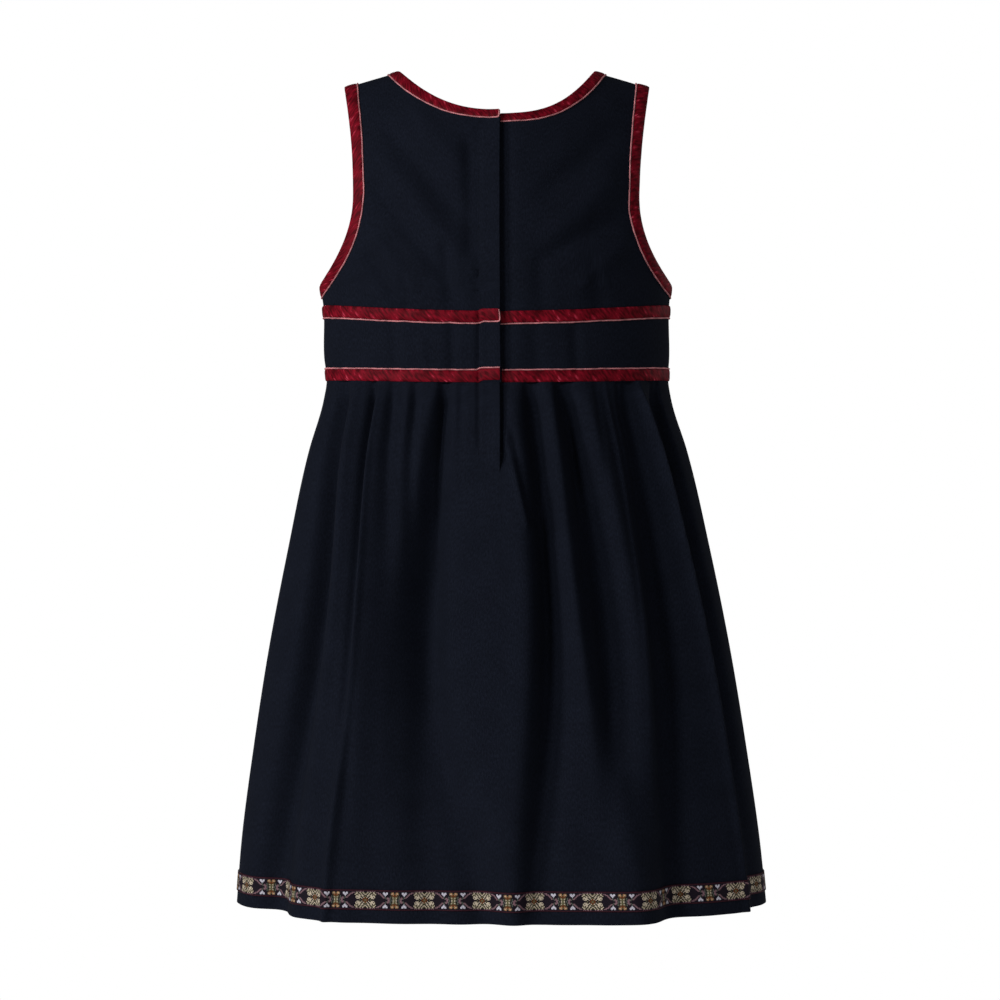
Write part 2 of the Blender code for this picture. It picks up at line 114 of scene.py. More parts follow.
# Ribbons, piping and the woven hem band
RIBBON_WIDTH = 8.9
PIPING_MIDDLE = 9.75
RIBBON_END_GAP = 0.9
NECK_EASE = 0.24
NECK_EASE_RUN = 55.0
TRIM_TOP = -636.5
TRIM_BOTTOM = -651.5

# The plain oval at each height
SECTION_COLUMNS = ("height", "half_width", "centre", "back_depth", "front_depth")
SECTIONS = (
    (40.0, 141.0, -2.5, 58.0, 60.0),
    (0.0, 141.0, -2.5, 66.0, 68.0),
    (-50.0, 141.0, -2.5, 77.0, 79.0),
    (-100.0, 141.0, -3.0, 83.0, 86.0),
    (-165.0, 140.0, -3.4, 82.0, 86.0),
    (-182.0, 138.2, -3.0, 79.0, 82.0),
    (-222.0, 138.0, -2.6, 77.0, 80.0),
    (-241.0, 136.6, -2.0, 77.0, 80.0),
    (-256.0, 139.0, -2.0, 80.0, 83.0),
    (-296.0, 151.0, -1.6, 88.0, 93.0),
    (-376.0, 168.8, -0.8, 97.0, 105.0),
    (-456.0, 184.4, -0.4, 104.0, 114.0),
    (-536.0, 197.0, 0.0, 110.0, 121.0),
    (-616.0, 207.6, 0.6, 116.0, 127.0),
    (-661.5, 211.5, 1.2, 119.0, 130.0),
)

# Skirt folds. Places are distances to the right of the dress's middle at the waist, half way down
# and at the hem. Depths are outwards at the same three heights, and widths are half widths there.
FOLD_HEIGHTS = (-241.0, -420.0, -661.5)
# A row's columns: the place at each of those heights, the depths there and the half widths there
BACK_FOLDS = (
    (-123.0, -144.0, -180.0, -9.0, -15.0, -15.0, 5.0, 9.5, 20.0),
    (-113.0, -128.0, -158.0, 4.0, 7.0, 6.0, 5.0, 9.0, 16.0),
    (-100.0, -112.0, -118.0, -9.0, -8.0, 1.0, 4.0, 5.0, 8.0),
    (-90.0, -105.0, -128.0, 6.0, 13.0, 9.0, 6.0, 14.0, 22.0),
    (-42.0, -62.0, -50.0, -10.0, -20.0, -8.0, 5.0, 17.0, 22.0),
    (-30.0, -56.0, -10.0, 0.0, -7.0, -13.0, 8.0, 14.0, 18.0),
    (2.0, 6.0, 4.0, 4.0, 5.0, 3.0, 18.0, 24.0, 20.0),
    (8.0, 21.0, 12.0, 3.0, 6.0, 3.0, 8.0, 12.0, 16.0),
    (25.0, 39.0, 28.0, -8.0, -15.0, -7.0, 6.0, 9.0, 17.0),
    (36.0, 57.0, 104.0, 6.0, 10.0, 12.0, 6.0, 10.0, 24.0),
    (48.0, 80.0, 80.0, -9.0, -12.0, 3.0, 6.0, 10.0, 14.0),
    (66.0, 102.0, 110.0, 5.0, 9.0, 3.0, 9.0, 10.0, 16.0),
    (99.0, 127.0, 141.0, -8.0, -12.0, -12.0, 7.0, 11.0, 20.0),
    (109.0, 149.0, 187.0, 6.0, 9.0, 6.0, 5.0, 9.0, 16.0),
    (120.0, 163.0, 199.0, -7.0, -9.0, -4.0, 5.0, 9.0, 14.0),
)
FRONT_FOLDS = (
    (-120.0, -146.0, -166.0, -5.0, -7.0, -11.0, 6.0, 12.0, 20.0),
    (-96.0, -112.0, -124.0, 4.0, 7.0, 12.0, 8.0, 14.0, 24.0),
    (-72.0, -84.0, -88.0, -6.0, -9.0, -10.0, 6.0, 12.0, 20.0),
    (-44.0, -50.0, -48.0, 3.0, 6.0, 9.0, 9.0, 16.0, 26.0),
    (-18.0, -14.0, -8.0, -5.0, -7.0, -8.0, 6.0, 11.0, 18.0),
    (8.0, 16.0, 30.0, 3.0, 6.0, 8.0, 8.0, 14.0, 24.0),
    (36.0, 48.0, 66.0, -6.0, -9.0, -11.0, 6.0, 12.0, 20.0),
    (62.0, 80.0, 98.0, 4.0, 6.0, 9.0, 8.0, 14.0, 22.0),
    (88.0, 112.0, 134.0, -6.0, -8.0, -10.0, 6.0, 12.0, 18.0),
    (116.0, 144.0, 168.0, 3.0, 5.0, 10.0, 7.0, 12.0, 20.0),
)
FOLD_LADDER = np.linspace(HEM, -230.0, 300)
WAIST_SHARE = 0.3
WAIST_RAMP = 24.0

# Finer folds that only the cloth has, in the same columns: small gathers that die away below the waist
BACK_GATHERS = (
    (-127.0, -149.0, -188.0, -3.0, -4.0, -3.0, 3.5, 7.0, 9.0),
    (-93.0, -106.0, -131.0, 2.5, 5.0, 5.0, 2.2, 3.0, 4.2),
    (-84.0, -88.0, -90.0, -3.5, 0.0, 0.0, 3.0, 5.0, 9.0),
    (-72.0, -80.0, -86.0, 2.0, 0.0, 0.0, 3.0, 5.0, 9.0),
    (-66.0, -72.0, -74.0, -5.0, 0.0, 0.0, 3.2, 6.0, 9.0),
    (-46.0, -52.0, -30.0, -3.0, -2.0, 0.0, 2.2, 4.0, 9.0),
    (-36.0, -42.0, -30.0, 1.6, 0.6, 0.0, 3.0, 6.0, 9.0),
    (-30.0, -30.0, -24.0, -1.4, 0.0, 0.0, 2.4, 6.0, 9.0),
    (20.0, 34.0, 22.0, -3.0, -3.0, -2.0, 2.6, 5.0, 7.0),
    (40.0, 60.0, 90.0, 2.0, 0.6, 0.0, 2.4, 5.0, 9.0),
    (56.0, 66.0, 90.0, -3.0, -2.0, 0.0, 2.4, 5.0, 9.0),
    (74.0, 86.0, 98.0, -2.0, 1.0, 0.0, 2.4, 5.0, 9.0),
    (82.0, 108.0, 120.0, 2.0, 3.0, 1.0, 2.4, 3.0, 8.0),
    (92.0, 119.0, 127.0, -3.0, -2.0, 0.0, 2.2, 5.0, 8.0),
    (108.0, 149.0, 190.0, 2.5, 5.0, 5.0, 2.2, 3.0, 4.2),
    (124.0, 158.0, 194.0, -3.0, -2.5, -2.0, 2.2, 4.0, 6.0),
)
FRONT_GATHERS = tuple(
    (place, 1.22 * place, 1.34 * place, 2.2 * sign, 1.0 * sign, 0.0, 2.6, 5.5, 9.0)
    for place, sign in (
        (-112.0, 1), (-104.0, -1), (-84.0, -1), (-62.0, 1), (-54.0, -1), (-31.0, 1), (-9.0, 1),
        (-2.0, -1), (20.0, -1), (28.0, 1), (48.0, 1), (54.0, -1), (73.0, 1), (80.0, -1), (98.0, 1), (106.0, -1),
    )
)

# Soft creases of the bodice and band: where each starts and ends, its half width and its depth outwards
# A row's columns: start across, start height, end across, end height, half width and depth
BACK_CREASES = (
    (-92.0, -40.0, -30.0, -118.0, 8.0, -3.4),
    (-98.0, -62.0, -34.0, -142.0, 8.0, 3.0),
    (-102.0, -86.0, -42.0, -166.0, 7.0, -3.6),
    (-106.0, -118.0, -66.0, -172.0, 6.0, 2.4),
    (-108.0, -138.0, -80.0, -180.0, 5.0, -2.6),
    (-70.0, -24.0, -26.0, -84.0, 9.0, 2.2),
    (-44.0, -134.0, -38.0, -190.0, 5.0, -3.2),
    (-24.0, -50.0, -22.0, -150.0, 6.0, -3.4),
    (-76.0, -156.0, -72.0, -192.0, 5.0, -2.2),
    (92.0, -46.0, 30.0, -104.0, 10.0, -2.6),
    (98.0, -78.0, 36.0, -136.0, 10.0, 2.6),
    (102.0, -108.0, 30.0, -150.0, 8.0, -2.8),
    (104.0, -130.0, 56.0, -176.0, 7.0, 2.0),
    (30.0, -146.0, 33.0, -190.0, 6.0, -1.8),
    (74.0, -152.0, 78.0, -190.0, 6.0, -1.8),
    (-38.0, -196.0, -37.0, -238.0, 4.0, -2.0),
    (-84.0, -194.0, -82.0, -238.0, 5.0, -1.6),
    (-62.0, -206.0, -58.0, -238.0, 4.0, 1.2),
    (26.0, -196.0, 30.0, -238.0, 7.0, -1.6),
    (58.0, -196.0, 60.0, -238.0, 5.0, -1.6),
    (-16.7, -44.0, -16.7, -298.0, 2.0, -1.7),
    (3.0, -280.0, 21.0, -358.0, 2.4, 2.0),
    (8.5, -280.0, 27.0, -358.0, 3.4, -2.2),
)
FRONT_CREASES = (
    (-84.0, -60.0, -36.0, -136.0, 10.0, -1.1),
    (-92.0, -92.0, -50.0, -160.0, 9.0, 1.0),
    (82.0, -58.0, 36.0, -132.0, 10.0, -1.0),
    (90.0, -94.0, 52.0, -162.0, 9.0, 1.0),
    (-20.0, -146.0, -18.0, -190.0, 6.0, -0.9),
    (40.0, -146.0, 42.0, -190.0, 6.0, -0.8),
    (-58.0, -196.0, -57.0, -236.0, 5.0, -0.7),
    (18.0, -196.0, 20.0, -236.0, 5.0, -0.7),
)
CREASE_BACK_DEPTH = 20.0

# On the placket stand the two waist ribbons sit this much higher than beside it
STAND_STEP = 1.7
STAND_STEP_RUN = 5.0

# How finely each piece is divided
BODICE_ROWS = (0, 0.055, 0.09, 0.105, 0.125, 0.16, 0.22, 0.3, 0.42, 0.57, 0.72, 0.84, 0.91, 0.96, 0.985, 1)
BODICE_COLUMNS = (0, 0.14, 0.27, 0.38, 0.46, 0.51, 0.54, 0.553, 0.65, 0.76, 0.88, 1)
BODICE_FINER = 7
BAND_COLUMNS = 120
BAND_ROWS = 40
SKIRT_ROWS = 116
SKIRT_ROW_CROWDING = 1.25
SKIRT_COLUMNS = 230
UNDERLAP_COLUMNS = 6
FRONT_COLUMNS = 300
NECK_STEPS = 90
NECK_CROWDING = 1.3
ARMHOLE_STEPS = 70
ARMHOLE_CROWDING = 1.8
RIBBON_ACROSS = 9

# The woven band's repeat, charted from the middle of a rosette to the middle of a cross and from the
# band's edge to its middle line. The rest of the repeat mirrors it. Letters are BAND_THREADS.
BAND_REPEAT = 45.6
BAND_START = 15.3
BAND_CHART = (
    "eeeeeeeeeeeeeeeeeeeeeeeeeeeeee",
    "..m.mm.m.m....................",
    ".oc.oco.co.mmm....hh.hh...ogg.",
    "oc.oc..occ...mmm..hhhhh...gcgo",
    "c..co.co.oc....mm..hhh....orgr",
    ".occ.cc.co......mm..h......rrr",
    "o.c..ccccc.......mm.l....l.oor",
    "rc..cccc.c........mml.mm.l.oco",
    "rr.c..ccc............lmmml..oo",
    "orr..o.................mm.l.co",
)
BAND_THREADS = {
    ".": "#1d1420", "e": "#3b1622", "m": "#8d6c74", "h": "#dedae8", "c": "#d8c8b0",
    "o": "#6c674a", "r": "#6b3d20", "g": "#c08e66", "l": "#646b60",
}


class DressSizes(bpy.types.PropertyGroup):
    """Sizes that a maker would choose."""

    stitch_spacing: bpy.props.FloatProperty(
        name="Stitch Spacing", description="Distance from one stitch to the next", default=2.9 * MM, unit="LENGTH"
    )
    stitch_length: bpy.props.FloatProperty(
        name="Stitch Length", description="Length of one stitch", default=2.1 * MM, unit="LENGTH"
    )
    thread_radius: bpy.props.FloatProperty(
        name="Thread Radius", description="Radius of the sewing thread", default=0.17 * MM, unit="LENGTH"
    )
    piping_radius: bpy.props.FloatProperty(
        name="Piping Radius", description="Radius of the corded piping", default=0.68 * MM, unit="LENGTH"
    )
    piping_twist: bpy.props.FloatProperty(
        name="Piping Twist", description="Turns of the piping's plies in a metre", default=210.0
    )
    floor_radius: bpy.props.FloatProperty(
        name="Floor Radius", description="Radius of the round floor", default=1.05, unit="LENGTH"
    )


class DressColours(bpy.types.PropertyGroup):
    """Colours of the cloths, as linear values."""

    wool: bpy.props.FloatVectorProperty(
        name="Wool", description="Navy wool", subtype="COLOR", size=3, default=(0.0056, 0.0071, 0.0125)
    )
    velvet: bpy.props.FloatVectorProperty(
        name="Velvet", description="Velvet pile seen along its lie", subtype="COLOR", size=3, default=(0.135, 0.0022, 0.0085)
    )
    piping: bpy.props.FloatVectorProperty(
        name="Piping", description="Pale piping", subtype="COLOR", size=3, default=(0.52, 0.19, 0.205)
    )


def clear_startup():
    """Only the frame stays in the scene."""
    for name in ("Cube", "Light", "Camera"):
        found = bpy.data.objects.get(name)
        if found and found.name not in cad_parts:
            bpy.data.objects.remove(found)


def linear(hex_colour):
    """An sRGB hex colour as a linear colour with full alpha."""
    channels = [int(hex_colour[i : i + 2], 16) / 255 for i in (1, 3, 5)]
    return (*(c / 12.92 if c <= 0.04045 else ((c + 0.055) / 1.055) ** 2.4 for c in channels), 1.0)


def ease(share):
    """0 to 1 with level ends."""
    share = np.clip(share, 0, 1)
    return share * share * (3 - 2 * share)


def waver(place, seed):
    """An uneven wave between about -1 and 1 along a length in millimetres."""
    total = 0.0
    for i, length in enumerate((47.0, 23.0, 13.0, 7.3)):
        total = total + np.sin(2 * math.pi * place / length + 1.7 * seed + 2.3 * i * seed) / (1.4 + i * 0.5)
    return total / 2.2


def finer(shares, times):
    """The same shares with this many steps for each of theirs."""
    count = len(shares) - 1
    return np.interp(np.linspace(0, count, count * times + 1), np.arange(count + 1), shares)


def through(knots, values, at):
    """A smooth curve through values at knots that fall or rise steadily."""
    knots = np.asarray(knots, float)
    values = np.asarray(values, float)
    if knots[0] > knots[-1]:
        knots, values = knots[::-1], values[::-1]
    gradients = np.gradient(values, knots)
    at = np.clip(at, knots[0], knots[-1])
    left = np.clip(np.searchsorted(knots, at, side="right") - 1, 0, len(knots) - 2)
    span = knots[left + 1] - knots[left]
    t = (at - knots[left]) / span
    return (
        (2 * t**3 - 3 * t**2 + 1) * values[left]
        + (t**3 - 2 * t**2 + t) * span * gradients[left]
        + (3 * t**2 - 2 * t**3) * values[left + 1]
        + (t**3 - t**2) * span * gradients[left + 1]
    )


def section(column, height):
    at = SECTION_COLUMNS.index(column)
    return through([row[0] for row in SECTIONS], [row[at] for row in SECTIONS], height)


def oval(angle, height):
    """The plain oval: angle 0 is the centre back, and a quarter turn is the dress's right side."""
    depth = np.where(np.cos(angle) >= 0, section("back_depth", height), section("front_depth", height))
    across = section("centre", height) + section("half_width", height) * np.sin(angle)
    return across, -depth * np.cos(angle)


def angle_at(across, height):
    """The back angle at which the oval has this place across."""
    share = (across - section("centre", height)) / section("half_width", height)
    return np.arcsin(np.clip(share, -1, 1))


def trunk(angle, drop):
    """The waistband's surface, a distance below the origin."""
    angle, drop = np.broadcast_arrays(angle, drop)
    across, back = oval(angle, -drop)
    return np.stack([across, back, -drop], axis=-1)


def shoulder_place(angle):
    """The place across of a shoulder point at this angle."""
    return SHOULDER_CENTRE + section("half_width", 0.0) * np.sin(angle)


def shoulder_height(across):
    """The shoulder line, carried on over the neck as a smooth curve."""
    away = np.hypot(across - SHOULDER_CENTRE, NECK_ROUND) - math.hypot(NECK_HALF_WIDTH, NECK_ROUND)
    return NECK_POINT - SHOULDER_SLOPE * away


def neck_height(across, neckline):
    """A bodice piece's top edge: its neckline between the neck points, and the shoulder beyond."""
    drop, power = neckline
    share = np.clip(np.abs(across - SHOULDER_CENTRE) / NECK_HALF_WIDTH, 0, 1)
    scoop = NECK_POINT - drop * (1 - share**power)
    return np.where(share < 1, scoop, shoulder_height(across))


def bodice(angle, run):
    """The bodice's surface, where run is the way down from the shoulder line, over its rounded top."""
    angle, run = np.broadcast_arrays(angle, run)
    turn = np.clip(run / SHOULDER_ARC, -math.pi / 2, math.pi / 2)
    fall = SHOULDER_ROUND * (1 - np.cos(turn)) + np.maximum(run - SHOULDER_ARC * math.pi / 2, 0)
    height = shoulder_height(shoulder_place(angle)) - fall
    across, back = oval(angle, height)
    return np.stack([across, back * np.sin(turn), height], axis=-1)


def bodice_run(angle, height):
    """The run at which the bodice has this height."""
    fall = shoulder_height(shoulder_place(angle)) - height
    turn = np.arccos(np.clip(1 - fall / SHOULDER_ROUND, 0, 1))
    return SHOULDER_ARC * turn + np.maximum(fall - SHOULDER_ROUND, 0)


def fold_table(folds, front):
    """Each fold's angle, depth and narrowness, at every height of FOLD_LADDER."""
    half_width = section("half_width", FOLD_LADDER)
    depth = section("back_depth", FOLD_LADDER)
    table = []
    for fold in folds:
        angles = [float(angle_at(place, height)) for place, height in zip(fold[0:3], FOLD_HEIGHTS)]
        middle = through(FOLD_HEIGHTS, [math.pi - angle if front else angle for angle in angles], FOLD_LADDER)
        pace = np.hypot(half_width * np.cos(middle), depth * np.sin(middle))
        narrowness = pace / through(FOLD_HEIGHTS, fold[6:9], FOLD_LADDER)
        table.append((middle, through(FOLD_HEIGHTS, fold[3:6], FOLD_LADDER), narrowness))
    return table


def fold_shift(angle, height):
    """How far the folds move the skirt outwards."""
    rung = np.clip((height - FOLD_LADDER[0]) / (FOLD_LADDER[1] - FOLD_LADDER[0]), 0, len(FOLD_LADDER) - 1.001)
    at = rung.astype(int)
    part = rung - at
    shift = np.zeros(np.shape(angle))
    for columns in ALL_FOLDS:
        middle, depth, narrowness = (column[at] * (1 - part) + column[at + 1] * part for column in columns)
        away = (angle - middle + math.pi) % (2 * math.pi) - math.pi
        share = away * narrowness
        shift += depth * np.exp(-share * share)
    ramp = WAIST_SHARE + (1 - WAIST_SHARE) * ease((BAND_BOTTOM - height) / WAIST_RAMP)
    return shift * ramp


def skirt(angle, drop):
    """The skirt's surface, a distance below the origin."""
    angle, drop = np.broadcast_arrays(angle, drop)
    height = -drop
    across, back = oval(angle, height)
    half_width = section("half_width", height)
    depth = np.where(np.cos(angle) >= 0, section("back_depth", height), section("front_depth", height))
    out = np.stack([np.sin(angle) / half_width, -np.cos(angle) / depth], axis=-1)
    out /= np.linalg.norm(out, axis=-1, keepdims=True)
    shift = fold_shift(angle, height)
    share = np.clip((BAND_BOTTOM - height) / (BAND_BOTTOM - HEM), 0, 1)
    rise = HEM_RISE * np.abs(np.sin(angle)) ** 3 * share**2
    return np.stack([across + out[..., 0] * shift, back + out[..., 1] * shift, height + rise], axis=-1)


def placket_share(height):
    """1 where the centre back is open, fading to 0 in the seam below it."""
    return ease(1 - (PLACKET_END - height) / PLACKET_FADE)


def lapped(surface, over):
    """The surface near the centre back opening: the upper half lifts at its edge, the lower one sinks."""

    def shaped(angle, run):
        points = surface(angle, run)
        beyond = points[..., 0] - LAP_EDGE
        if over:
            change = -LAP_LIFT * ease(1 + beyond / LAP_LIFT_RUN)
        else:
            change = LAP_SINK * ease(1 - (beyond - 1) / LAP_SINK_RUN)
        back_only = np.cos(angle) > 0
        points[..., 1] += np.where(back_only, change * placket_share(points[..., 2]), 0)
        return points

    return shaped


def creased(surface):
    """The surface with the soft creases of the bodice and band."""

    def shaped(angle, run):
        points = surface(angle, run)
        shift = np.zeros(points.shape[:-1])
        for table, side in ((BACK_CREASES, -1), (FRONT_CREASES, 1)):
            facing = ease(0.5 + side * points[..., 1] / CREASE_BACK_DEPTH)
            for x0, z0, x1, z1, half_width, depth in table:
                length = math.hypot(x1 - x0, z1 - z0)
                along = ((points[..., 0] - x0) * (x1 - x0) + (points[..., 2] - z0) * (z1 - z0)) / length
                aside = ((points[..., 0] - x0) * (z1 - z0) - (points[..., 2] - z0) * (x1 - x0)) / length
                fade = ease((along + half_width) / (3 * half_width))
                fade = fade * ease((length + half_width - along) / (3 * half_width))
                shift += facing * fade * depth * np.exp(-((aside / half_width) ** 2))
        return points + outward(surface, angle, run) * shift[..., None]

    return shaped


def slopes(surface, angle, run):
    """How the surface moves for a radian of angle and for a millimetre of run."""
    turn, step = 1e-4, 0.01
    across = (surface(angle + turn, run) - surface(angle - turn, run)) / (2 * turn)
    down = (surface(angle, run + step) - surface(angle, run - step)) / (2 * step)
    return across, down


def outward(surface, angle, run):
    across, down = slopes(surface, angle, run)
    normal = np.cross(down, across)
    return normal / np.linalg.norm(normal, axis=-1, keepdims=True)


def lengths(points, axis):
    """How far along a row or column of a grid each point is, starting at 0."""
    steps = np.linalg.norm(np.diff(points, axis=axis), axis=-1)
    start = np.zeros_like(np.take(steps, [0], axis=axis))
    return np.cumsum(np.concatenate([start, steps], axis=axis), axis=axis)


def rim_of(grid):
    """The grid's edge points, all round."""
    return np.array([*grid[0, :-1], *grid[:-1, -1], *grid[-1, :0:-1], *grid[:0:-1, 0]])


def cloth_mesh(name, outer, inner, start=0.0):
    """A closed wall between two grids of points, its rim rounded, with a UV map in metres that starts
    at this length along the rows."""
    rows, columns = outer.shape[:2]
    count = rows * columns
    away = outer.copy()
    away[0] = 2 * outer[0] - outer[1]
    away[-1] = 2 * outer[-1] - outer[-2]
    away[:, 0] += outer[:, 0] - outer[:, 1]
    away[:, -1] += outer[:, -1] - outer[:, -2]
    middle = (rim_of(outer) + rim_of(inner)) / 2
    thickness = np.linalg.norm(rim_of(outer) - rim_of(inner), axis=-1, keepdims=True)
    leave = rim_of(away) - rim_of(outer)
    leave /= np.maximum(np.linalg.norm(leave, axis=-1, keepdims=True), 1e-9)
    middle += leave * thickness * 0.3
    vertices = np.concatenate([outer.reshape(-1, 3), inner.reshape(-1, 3), middle])
    at = np.arange(count).reshape(rows, columns)
    outside = np.stack([at[:-1, :-1], at[1:, :-1], at[1:, 1:], at[:-1, 1:]], axis=-1).reshape(-1, 4)
    rim = rim_of(at)
    then = np.roll(rim, -1)
    between = 2 * count + np.arange(len(rim))
    between_then = np.roll(between, -1)
    upper = np.stack([rim, then, between_then, between], axis=-1)
    lower = np.stack([between, between_then, then + count, rim + count], axis=-1)
    faces = np.concatenate([outside, outside[:, ::-1] + count, upper, lower])
    mesh = bpy.data.meshes.new(name)
    mesh.vertices.add(len(vertices))
    mesh.vertices.foreach_set("co", (vertices * MM).ravel())
    mesh.loops.add(faces.size)
    mesh.loops.foreach_set("vertex_index", faces.ravel().astype(np.int32))
    mesh.polygons.add(len(faces))
    mesh.polygons.foreach_set("loop_start", np.arange(0, faces.size, 4, dtype=np.int32))
    mesh.update(calc_edges=True)
    flat = np.stack([start + lengths(outer, 1), lengths(outer, 0)], axis=-1)
    flat = np.concatenate([flat.reshape(-1, 2), flat.reshape(-1, 2), rim_of(flat)])
    layer = mesh.uv_layers.new(name="Cloth")
    layer.data.foreach_set("uv", (flat[faces.ravel()] * MM).ravel().astype(np.float32))
    mesh.shade_smooth()
    mesh.set_sharp_from_angle(angle=math.radians(45))
    return mesh


def piece(name, mesh, material, nodes=()):
    """The mesh as a piece that rides on the body and stands for these nodes."""
    obj = bpy.data.objects.new(name, mesh)
    bpy.context.scene.collection.objects.link(obj)
    if material:
        mesh.materials.append(material)
    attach(obj, BODY)
    if nodes:
        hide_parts(*nodes)
    return obj


def panel(name, surface, angle, run, thickness, material, start=0.0):
    """A panel of cloth that stands for the node of its name."""
    outer = surface(angle, run)
    inner = outer - outward(surface, angle, run) * thickness
    mesh = cloth_mesh(f"cloth_{name}", outer, inner, start)
    return piece(f"cloth_{name}", mesh, material, [name])


def armhole_angle(height, middle):
    """The armhole edge's angle from the centre, in radians."""
    share = np.clip((height - UNDERARM) / UNDERARM_RISE, 0, 1)
    round_off = 1 - (1 - (1 - share) ** UNDERARM_CURVE) ** (1 / UNDERARM_CURVE)
    top = shoulder_height(shoulder_place(math.radians(SHOULDER_END)))
    flare = np.clip((height - FLARE_START) / (top - FLARE_START), 0, 1) ** 2
    return np.radians(middle + (90 - middle) * round_off + (SHOULDER_END - middle) * flare)


def band_height(angle, side, dip):
    return side - dip * np.clip(np.cos(angle), 0, 1) ** 2


def side_angle(height):
    """The side's angle, less half a seam's gap."""
    return math.pi / 2 - HALF_SEAM / float(section("back_depth", height))


def bodice_half(side, inner_edge, neckline):
    """Angles and runs of a back half: side is -1 for left, and inner_edge its edge's place across."""
    top_out = math.radians(SHOULDER_END)
    end_height = shoulder_height(shoulder_place(top_out))
    share = finer(BODICE_COLUMNS, BODICE_FINER)
    angles, runs = [], []
    for v in finer(BODICE_ROWS, BODICE_FINER)[::-1]:
        outer_height = BAND_TOP + v * (end_height - BAND_TOP)
        outer = min(float(armhole_angle(outer_height, ARMHOLE_BACK)), side_angle(BAND_TOP))
        inner = float(angle_at(inner_edge, outer_height)) * side
        angle = side * (inner + share * (outer - inner))
        inner_top = float(angle_at(inner_edge, 0.0)) * side
        top = side * (inner_top + share * (top_out - inner_top))
        low = side * (inner_top + share * (math.pi / 2 - inner_top))
        bottom_height = band_height(low, BAND_TOP, BAND_TOP_DIP) + HALF_SEAM
        top_height = neck_height(shoulder_place(top), neckline)
        height = bottom_height + v * (top_height - bottom_height)
        angle = top if v == 1 else angle
        angles.append(angle[::side])
        runs.append(np.maximum(bodice_run(angle, height), 2 * HALF_SEAM)[::side])
    return np.array(angles), np.array(runs)


def bodice_front():
    """Angles and runs of the front, from its right side to its left."""
    top_out = math.radians(SHOULDER_END)
    end_height = shoulder_height(shoulder_place(top_out))
    half = finer(BODICE_COLUMNS, BODICE_FINER)
    share = np.concatenate([-half[:0:-1], half])
    angles, runs = [], []
    for v in finer(BODICE_ROWS, BODICE_FINER)[::-1]:
        outer_height = BAND_TOP + v * (end_height - BAND_TOP)
        outer = min(float(armhole_angle(outer_height, ARMHOLE_FRONT)), side_angle(BAND_TOP))
        angle = math.pi + share * outer
        top = math.pi + share * top_out
        top_height = neck_height(shoulder_place(top), NECK_FRONT)
        bottom_height = BAND_TOP + HALF_SEAM
        height = bottom_height + v * (top_height - bottom_height)
        angle = top if v == 1 else angle
        angles.append(angle)
        runs.append(np.maximum(bodice_run(angle, height), 2 * HALF_SEAM))
    return np.array(angles), np.array(runs)


def inset(surface, angle, run, distance, side):
    """Angles and runs at a distance inside an edge. Side is 1 for a piece on the left of travel."""
    across, down = slopes(surface, angle, run)
    normal = np.cross(down, across)
    travel = np.gradient(surface(angle, run), axis=0)
    inward = side * np.cross(normal, travel)
    inward *= np.asarray(distance)[..., None] / np.linalg.norm(inward, axis=-1, keepdims=True)
    aa = (across * across).sum(axis=-1)
    ad = (across * down).sum(axis=-1)
    dd = (down * down).sum(axis=-1)
    ai = (across * inward).sum(axis=-1)
    di = (down * inward).sum(axis=-1)
    whole = aa * dd - ad * ad
    return angle + (ai * dd - di * ad) / whole, run + (di * aa - ai * ad) / whole


def neck_edge(start, side, neckline, front=False):
    """Angles and runs along a neckline, from a place across to the neck point of a side."""
    share = 1 - np.linspace(1, 0, NECK_STEPS + 1) ** NECK_CROWDING
    across = start + share * (SHOULDER_CENTRE + side * NECK_HALF_WIDTH - start)
    if front:
        across = np.concatenate([2 * start - across[:0:-1], across])
    angle = np.arcsin((across - SHOULDER_CENTRE) / section("half_width", 0.0))
    if front:
        angle = math.pi - angle
    run = bodice_run(angle, neck_height(across, neckline))
    return angle, np.maximum(run, 2 * HALF_SEAM)


def armhole_edge(side):
    """Angles and runs round an armhole, from the back of the shoulder seam to its front."""
    end = shoulder_place(side * math.radians(SHOULDER_END))
    fall = SHOULDER_ROUND * (1 - np.cos(np.linspace(0, math.pi / 2, ARMHOLE_STEPS)))
    straight = shoulder_height(end) - SHOULDER_ROUND - UNDERARM
    rise = np.linspace(1, 0, ARMHOLE_STEPS // 2) ** ARMHOLE_CROWDING
    height = np.concatenate([shoulder_height(end) - fall[:-1], UNDERARM + rise * straight])
    back = armhole_angle(height, ARMHOLE_BACK)
    front = math.pi - armhole_angle(height, ARMHOLE_FRONT)
    angle = np.concatenate([back, front[-2::-1]]) * side
    height = np.concatenate([height, height[-2::-1]])
    run = np.maximum(bodice_run(angle, height), 2 * HALF_SEAM)
    return angle, run


def band_top(angle):
    return band_height(angle, BAND_TOP, BAND_TOP_DIP)


def band_bottom(angle):
    return band_height(angle, BAND_BOTTOM, BAND_BOTTOM_DIP)


def stand_rise(angle, over):
    """How much higher the waist ribbons sit on the placket stand."""
    across = section("half_width", BAND_TOP) * np.sin(angle) + section("centre", BAND_TOP)
    on_stand = ease((across - LAP_EDGE + LAP_WIDTH) / STAND_STEP_RUN + 0.5) * (np.cos(angle) > 0)
    return STAND_STEP * on_stand if over else 0 * across


